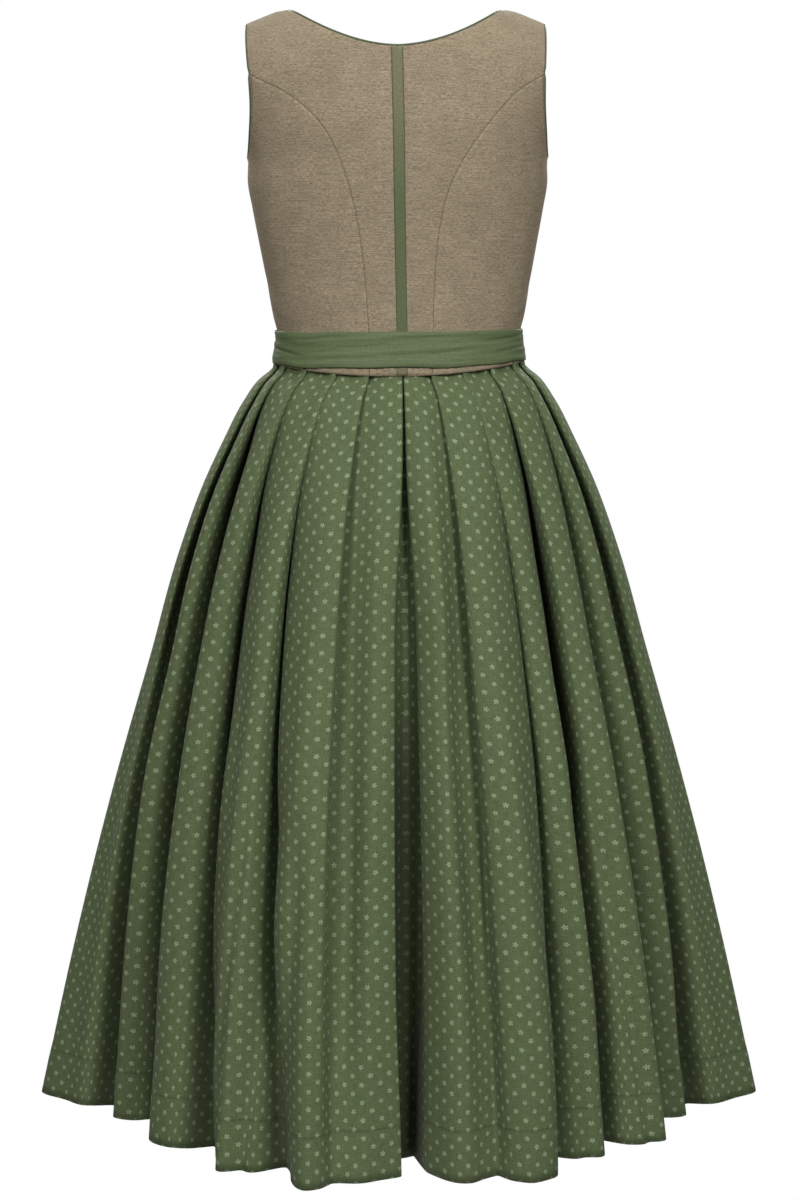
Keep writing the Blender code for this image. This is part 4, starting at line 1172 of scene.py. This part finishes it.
def guide_points(columns, drops, side, front):
    """Points of the guiding columns at each share of the drop, and the share of painted fold shade at each.
    """
    table = np.array(columns)
    waist, offset, depth, edge, hem_edge_r, hem, hem_r, sink, shade = (table[None, :, i] for i in range(9))
    height_share = drops[:, None]
    tucked = SKIRT_TUCK / (WAIST_SIDE_Z - HEM_Z)
    drops = np.maximum(0.0, (drops - tucked) / (1 - tucked))
    down = drops[:, None]
    middle = fold_share(down, sink)
    spread = through([row.drop for row in FLARE], [row.open for row in FLARE], drops)[:, None]
    opening = down ** 1.2
    sinking = down ** FOLD_SINKING

    def world(degrees):
        angle = np.radians(degrees)
        return side * (math.pi - angle) if front else side * angle

    edge_degrees = mix(waist, edge, spread)
    edge_r = mix(waist_radius(world(waist)), hem_edge_r, spread)
    flanking = np.where(offset < 0, 1.0, 0.0)
    closed = edge_degrees + np.degrees((offset - FLANK_BACK * flanking * middle) / edge_r)
    middle_fold = waist == waist[:, :1]
    first = np.where(middle_fold & (hem != hem[:, :1]) & (not front), 1.0, 0.0)
    parted = np.degrees(first * centre_parting(down) / edge_r)
    turned = world(mix(closed + parted, edge_degrees + hem - edge + parted, opening))
    inset = hem_edge_r - hem_r
    deeper = np.where(middle_fold, CENTRE_DEEPENING, FOLD_DEEPENING)
    inset = inset * np.where(inset > 0, 1 + deeper * np.sin(math.pi * down) ** 0.8, 1.0)
    radius = edge_r - mix(depth, inset, sinking) - SINK_ROUND * FOLD_SHADOW * sink * middle
    waist_x = waist_radius(turned) * np.sin(turned)
    top = waist_seam(waist_x, front) + SKIRT_TUCK + WAIST_TILT * waist_x
    z = mix(top, HEM_Z, height_share)
    y = radius * np.cos(turned)
    y = y - np.sign(y) * np.minimum(np.abs(y) * 0.5, SINK_FLAT * FOLD_SHADOW * sink * middle)
    # How much shade is painted at each guiding point.
    fold_painted_shade = shade * shade_share(down, middle_fold)
    return np.stack([radius * np.sin(turned), y, z, np.broadcast_to(fold_painted_shade, y.shape)], -1)


def fine_curve(points):
    """A smooth dense curve through guiding points, and where each of them lies on it."""
    chords = np.sqrt(np.linalg.norm(np.diff(points[:, :3], axis=0), axis=1)) + 1e-6
    keys = np.concatenate([[0.0], np.cumsum(chords)])
    shares = np.linspace(0, 1, CURVE_STEPS, endpoint=False)
    at = np.concatenate([(keys[:-1, None] + chords[:, None] * shares).ravel(), keys[-1:]])
    return through(keys, points, at)


def skirt_quarter(pleats, centre_hem, side, front, drops, sinks):
    """Points and cloth widths of a quarter, from its centre to its side."""
    columns, edges = quarter_columns(pleats, centre_hem, front, sinks)
    guides = guide_points(columns, drops, side, front)
    stops = [0, *edges, len(columns) - 1]
    curves = [fine_curve(level) for level in guides]
    lengths = [run_lengths(curve[:, :3]) for curve in curves]
    parts, widths = [], []
    taken = 0.0
    for start, end in zip(stops, stops[1:]):
        spans = np.array([length[end * CURVE_STEPS] - length[start * CURVE_STEPS] for length in lengths])
        cut = spans.max()
        count = COLUMNS_A_PLEAT if end - start > 4 else COLUMNS_A_PLEAT // 2
        even = np.linspace(0, 1, count + 1)
        t = mix(even, even * even * (3 - 2 * even), 0.6)
        if start != 0:
            t = t[1:]
        rows = []
        for curve, length, span in zip(curves, lengths, spans):
            slack = t ** (cut / span) if start == 0 else 1 - (1 - t) ** (cut / span)
            at = length[start * CURVE_STEPS] + span * slack
            rows.append(np.stack([np.interp(at, length, curve[:, i]) for i in range(4)], -1))
        parts.append(np.array(rows))
        widths.append(taken + t * cut)
        taken += cut
    return np.concatenate(parts, axis=1), np.concatenate(widths)


def ridge_lift(angle, drops, radius):
    """How far the skirt's soft ridges stand off it."""
    lift = np.zeros_like(angle)
    drop = drops[:, None]
    for row in SKIRT_RIDGES:
        share = (drop - row.top_drop) / (row.low_drop - row.top_drop)
        line = np.radians(mix(row.top_degrees, row.low_degrees, np.clip(share, 0, 1)))
        ends = smoothstep(0.0, 0.35, share)
        if row.low_drop < 1.0:
            ends = ends * smoothstep(1.0, 0.7, share)
        away = wrapped(angle - line) * radius
        lift += 1.9 * row.height * ends * np.exp(-((away / row.width) ** 2))
    return lift


def skirt_cloth(points, drops, sizes):
    """Adds the soft ridges and the turned-up hem, and measures the cloth up from the hem."""
    angle = np.arctan2(points[..., 0], points[..., 1])
    radius = np.hypot(points[..., 0], points[..., 1])
    up = run_lengths(points.transpose(1, 0, 2)).T
    lift = ridge_lift(angle, drops, radius)
    lift += 0.0007 * smoothstep(sizes.hem_turn_up + 0.002, sizes.hem_turn_up - 0.004, up)
    scale = 1 + lift / radius
    moved = points * np.stack([scale, scale, np.ones_like(scale)], -1)
    return moved, up


def swung(x, drops):
    """The back's sideways places with its folds swung outwards part of the way down."""
    half = np.abs(x[:, -1:])
    share = np.minimum(np.abs(x) / half, 1.0)
    table = np.array(SWING)
    left, right = (through(table[:, 0], table[:, i], share) for i in (1, 2))
    part = np.sin(math.pi * drops[:, None] ** 0.62)
    return x + np.where(x > 0, left, -right) * half * part


def build_skirt(settings):
    sizes = settings.sizes
    finish = printed_cotton("blossom_print_cotton", settings.colours, sizes)
    even = np.linspace(0, 1, SKIRT_LEVEL_COUNT + 1)
    drops = (0.62 * even + 0.38 * even ** 2)[::-1]
    centre_right = (-CENTRE_BACK_HEM[0], CENTRE_BACK_HEM[1])
    left, left_width = skirt_quarter(BACK_LEFT, CENTRE_BACK_HEM, 1, False, drops, BACK_LEFT_SINKS)
    right, right_width = skirt_quarter(BACK_RIGHT, centre_right, -1, False, drops, BACK_RIGHT_SINKS)
    back = np.concatenate([right[:, ::-1], left[:, 1:]], axis=1)
    back_width = np.concatenate([-right_width[::-1], left_width[1:]])
    back[..., 0] = swung(back[..., 0], drops)
    pieces = {"back": (back, back_width)}
    pieces["front_left"] = skirt_quarter(FRONT_LEFT, CENTRE_FRONT_HEM, 1, True, drops, FRONT_SINKS)
    pieces["front_right"] = skirt_quarter(FRONT_RIGHT, CENTRE_FRONT_HEM, -1, True, drops, FRONT_SINKS)
    for name, (points, widths) in pieces.items():
        if name == "back":
            points[:, (0, -1), 1] = SEAM
        else:
            points[:, -1, 1] = -SEAM
            points[:, 0, 0] = SEAM if name.endswith("left") else -SEAM
        points, shade = points[..., :3], np.clip(points[..., 3], 0.0, 1.0)
        moved, up = skirt_cloth(points, drops, sizes)
        moved[:, (0, -1), 1] = points[:, (0, -1), 1] if name == "back" else moved[:, (0, -1), 1]
        cloth = np.stack([np.broadcast_to(widths, up.shape), up], -1)
        full = "cotton_skirt_" + name
        mesh = cloth_mesh(full, moved, cloth)
        # The painted shade of the folds, read by the cotton's material.
        attribute(mesh, "fold", shade)
        face_outwards(mesh)
        obj = piece(full, mesh, finish, "printed_cotton", "skirt_" + name)
        thicken(obj, sizes.cotton_wall, 0)


# ---- Stage ----------------------------------------------------------------------------------------
CAMERA_PLACE = (-0.0011, 3.04, -0.245)
CAMERA_TILT = 7.44  # degrees below level
SENSOR_HEIGHT = 36.0
SOFTBOX_SIZE = 0.9
SOFTBOX_COLOUR = (1.0, 0.985, 0.96)
CEILING_SPREAD = 60  # degrees


def softbox(name, place, power):
    """A round lamp at a place, turned to the middle of the dress."""
    data = bpy.data.lights.new(name, "AREA")
    data.shape = "DISK"
    data.size = SOFTBOX_SIZE
    data.energy = power
    data.color = SOFTBOX_COLOUR
    obj = bpy.data.objects.new(name, data)
    bpy.context.scene.collection.objects.link(obj)
    obj.location = place
    middle = Vector((0.0, 0.0, -0.6))
    obj.rotation_euler = (middle - Vector(place)).to_track_quat("-Z", "Y").to_euler()


def build_stage(settings):
    scene = bpy.context.scene
    stage = settings.stage
    mesh = bpy.data.meshes.new("studio_floor")
    shape = bmesh.new()
    bmesh.ops.create_circle(shape, cap_ends=True, segments=96, radius=stage.floor_radius)
    bmesh.ops.translate(shape, verts=shape.verts, vec=(0, 0, HEM_Z - stage.floor_gap))
    shape.to_mesh(mesh)
    shape.free()
    floor = bpy.data.objects.new("studio_floor", mesh)
    scene.collection.objects.link(floor)
    mesh.materials.append(painted_backdrop("white_studio_paper", settings.colours.floor))
    world = scene.world or bpy.data.worlds.new("studio_air")
    scene.world = world
    world.use_nodes = True
    tree = world.node_tree
    seen = node(tree, "LightPath").outputs["Is Camera Ray"]
    air = tree.nodes["Background"]
    air.inputs["Color"].default_value = (1.0, 1.0, 1.0, 1.0)
    tree.links.new(ramp(tree, seen, 0.0, 1.0, stage.air_light, 1.0), air.inputs["Strength"])
    for side, name in ((-1, "right"), (1, "left")):
        back_power = stage.key_power * (0.5 - 0.04 * side)
        softbox("back_softbox_" + name, (1.3 * side - 0.1, 2.6, 1.1), back_power)
        softbox("front_softbox_" + name, (1.3 * side + 0.1, -2.6, 1.1), stage.key_power * 0.5)
    top = bpy.data.lights.new("ceiling", "SUN")
    top.energy = stage.ceiling_light
    top.angle = math.radians(CEILING_SPREAD)
    scene.collection.objects.link(bpy.data.objects.new("ceiling", top))
    data = bpy.data.cameras.new("camera")
    data.sensor_fit = "VERTICAL"
    data.sensor_height = SENSOR_HEIGHT
    data.lens = stage.lens
    camera = bpy.data.objects.new("camera", data)
    scene.collection.objects.link(camera)
    camera.location = CAMERA_PLACE
    camera.rotation_euler = (math.radians(90 - CAMERA_TILT), 0, math.pi)
    scene.camera = camera
    scene.view_settings.view_transform = "Standard"
    scene.view_settings.look = "None"


# ---- Add-on ---------------------------------------------------------------------------------------
def colour_property(name, code, words):
    return bpy.props.FloatVectorProperty(
        name=name, description=words, subtype="COLOR", size=3, min=0.0, max=1.0, default=linear(code)
    )


def length_property(name, size, words):
    return bpy.props.FloatProperty(
        name=name, description=words, default=size, min=0.0, unit="LENGTH", precision=5
    )


def light_property(name, strength, words, **more):
    return bpy.props.FloatProperty(name=name, description=words, default=strength, min=0.0, **more)


class DirndlSizes(bpy.types.PropertyGroup):
    linen_wall: length_property("Linen wall", 0.0014, "Thickness of the bodice with its lining")
    cotton_wall: length_property("Cotton wall", 0.0008, "Thickness of the skirt's cloth")
    hem_turn_up: length_property("Hem turn-up", 0.052, "Depth of the skirt's turned-up hem")
    blossom_across: length_property("Blossoms across", 0.0193, "Distance between the blossoms of a row")
    blossom_along: length_property("Blossoms along", 0.0179, "Distance between the rows of blossoms")
    # Strength of the shade painted into the skirt's folds.
    painted_fold_shade: bpy.props.FloatProperty(
        name="Fold shade", description="Depth of colour in the folds", subtype="FACTOR", default=0.72
    )
    blossom_radius: length_property("Blossom radius", 0.0028, "Length of a petal from the blossom's middle")
    ribbon_width: length_property("Ribbon width", 0.0120, "Width of the centre-back ribbon")
    placket_width: length_property("Placket width", 0.020, "Width of the button placket")
    piping_radius: length_property("Piping radius", 0.0014, "Radius of the covered cord")
    button_radius: length_property("Button radius", 0.0055, "Radius of the buttons")


class DirndlColours(bpy.types.PropertyGroup):
    linen_light: colour_property("Linen light", "#B8A68D", "Light yarns of the bodice")
    linen_dark: colour_property("Linen dark", "#7C715C", "Dark yarns of the bodice")
    linen_fleck: colour_property("Linen fleck", "#868B77", "Greenish flecks in the bodice")
    # Dark yarn of the thin slubs, and painted shade along the stitched seams.
    linen_seam: colour_property("Linen seam", "#5C523F", "Shade in a stitched seam")
    cotton: colour_property("Cotton", "#667451", "Ground of the skirt")
    cotton_dark: colour_property("Cotton dark", "#546240", "Darker threads of the skirt")
    # Painted shade: the colour that the skirt's folds are darkened towards.
    cotton_painted_shade: colour_property("Cotton deep", "#1A2210", "Inside the skirt's folds, away from the light")
    # Hem stitches, and the painted shadow along the hem's turned-up edge.
    cotton_stitch_and_painted_shade: colour_property("Cotton shade", "#3A462B", "Hem stitches of the skirt")
    blossom: colour_property("Blossom", "#9CAD8C", "Printed blossoms")
    belt: colour_property("Belt", "#667551", "Light threads of the belt")
    belt_dark: colour_property("Belt dark", "#515F3C", "Dark threads of the belt")
    belt_fleck: colour_property("Belt fleck", "#7B8963", "Flecks in the belt")
    ribbon_top: colour_property("Ribbon top", "#7D795D", "Ribbon at the neckline")
    ribbon_low: colour_property("Ribbon low", "#636D4B", "Ribbon at the waist")
    ribbon_under: colour_property("Ribbon under", "#7C755E", "Ribbon below the belt")
    ribbon_edge: colour_property("Ribbon edge", "#535E42", "Woven edges of the ribbon")
    # The piping's lit colour, painted light; the next is its painted shade.
    piping: colour_property("Piping", "#535F40", "Piping in the light")
    piping_painted_shade: colour_property("Piping dark", "#3E4934", "Piping in the shade")
    horn: colour_property("Horn", "#6A4A30", "Light streaks of the buttons")
    horn_dark: colour_property("Horn dark", "#35241A", "Dark streaks of the buttons")
    floor: colour_property("Floor", "#F0F0EE", "Studio paper")


class DirndlStage(bpy.types.PropertyGroup):
    floor_gap: length_property("Floor gap", 0.60, "Distance from the hem down to the floor")
    floor_radius: length_property("Floor radius", 0.70, "Radius of the round floor")
    lens: bpy.props.FloatProperty(name="Lens", description="Focal length", default=83.04, unit="CAMERA")
    key_power: light_property("Key light", 94.0, "Power of each pair of softboxes", unit="POWER")
    air_light: light_property("Air light", 0.13, "Strength of the even light")
    ceiling_light: light_property("Ceiling light", 1.2, "Light from overhead")


class DirndlSettings(bpy.types.PropertyGroup):
    sizes: bpy.props.PointerProperty(type=DirndlSizes, name="Sizes", description="Sizes of the dress")
    colours: bpy.props.PointerProperty(type=DirndlColours, name="Colours", description="Colours of the dress")
    stage: bpy.props.PointerProperty(type=DirndlStage, name="Stage", description="Studio, light and camera")


class BuildBodice(bpy.types.Operator):
    """Build the eight linen panels of the bodice"""

    bl_idname = "dirndl.bodice"
    bl_label = "Linen bodice"

    def execute(self, context):
        build_bodice(context.scene.dirndl)
        return {"FINISHED"}


class BuildStrips(bpy.types.Operator):
    """Build the centre-back ribbon and the button placket"""

    bl_idname = "dirndl.strips"
    bl_label = "Ribbon and placket"

    def execute(self, context):
        build_strips(context.scene.dirndl)
        return {"FINISHED"}


class BuildPiping(bpy.types.Operator):
    """Build the piping of the neckline and the armholes"""

    bl_idname = "dirndl.piping"
    bl_label = "Piping"

    def execute(self, context):
        build_piping(context.scene.dirndl)
        return {"FINISHED"}


class BuildBelt(bpy.types.Operator):
    """Build the soft belt"""

    bl_idname = "dirndl.belt"
    bl_label = "Belt"

    def execute(self, context):
        build_belt(context.scene.dirndl)
        return {"FINISHED"}


class BuildButtons(bpy.types.Operator):
    """Build the buttons of the front"""

    bl_idname = "dirndl.buttons"
    bl_label = "Buttons"

    def execute(self, context):
        build_buttons(context.scene.dirndl)
        return {"FINISHED"}


class BuildSkirt(bpy.types.Operator):
    """Build the pleated skirt"""

    bl_idname = "dirndl.skirt"
    bl_label = "Pleated skirt"

    def execute(self, context):
        build_skirt(context.scene.dirndl)
        return {"FINISHED"}


class BuildStage(bpy.types.Operator):
    """Set up the floor, the lights and the camera"""

    bl_idname = "dirndl.stage"
    bl_label = "Studio stage"

    def execute(self, context):
        build_stage(context.scene.dirndl)
        return {"FINISHED"}


OPERATORS = (BuildBodice, BuildStrips, BuildPiping, BuildBelt, BuildButtons, BuildSkirt, BuildStage)


class DirndlPanel(bpy.types.Panel):
    """Lists the dress's pieces"""

    bl_idname = "VIEW3D_PT_dirndl"
    bl_label = "Dirndl Dress"
    bl_space_type = "VIEW_3D"
    bl_region_type = "UI"
    bl_category = "Dirndl"

    def draw(self, context):
        settings = context.scene.dirndl
        for group in (settings.sizes, settings.colours, settings.stage):
            box = self.layout.box()
            for name in group.bl_rna.properties.keys():
                if name not in ("rna_type", "name"):
                    box.prop(group, name)
        for operator in OPERATORS:
            self.layout.operator(operator.bl_idname)


CLASSES = (DirndlSizes, DirndlColours, DirndlStage, DirndlSettings, *OPERATORS, DirndlPanel)


def register():
    for made in CLASSES:
        bpy.utils.register_class(made)
    bpy.types.Scene.dirndl = bpy.props.PointerProperty(type=DirndlSettings)


def unregister():
    del bpy.types.Scene.dirndl
    for made in reversed(CLASSES):
        bpy.utils.unregister_class(made)


def main():
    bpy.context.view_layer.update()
    register()
    bpy.ops.dirndl.bodice()
    bpy.ops.dirndl.strips()
    bpy.ops.dirndl.piping()
    bpy.ops.dirndl.belt()
    bpy.ops.dirndl.buttons()
    bpy.ops.dirndl.skirt()
    bpy.ops.dirndl.stage()


if __name__ == "__main__":
    main()
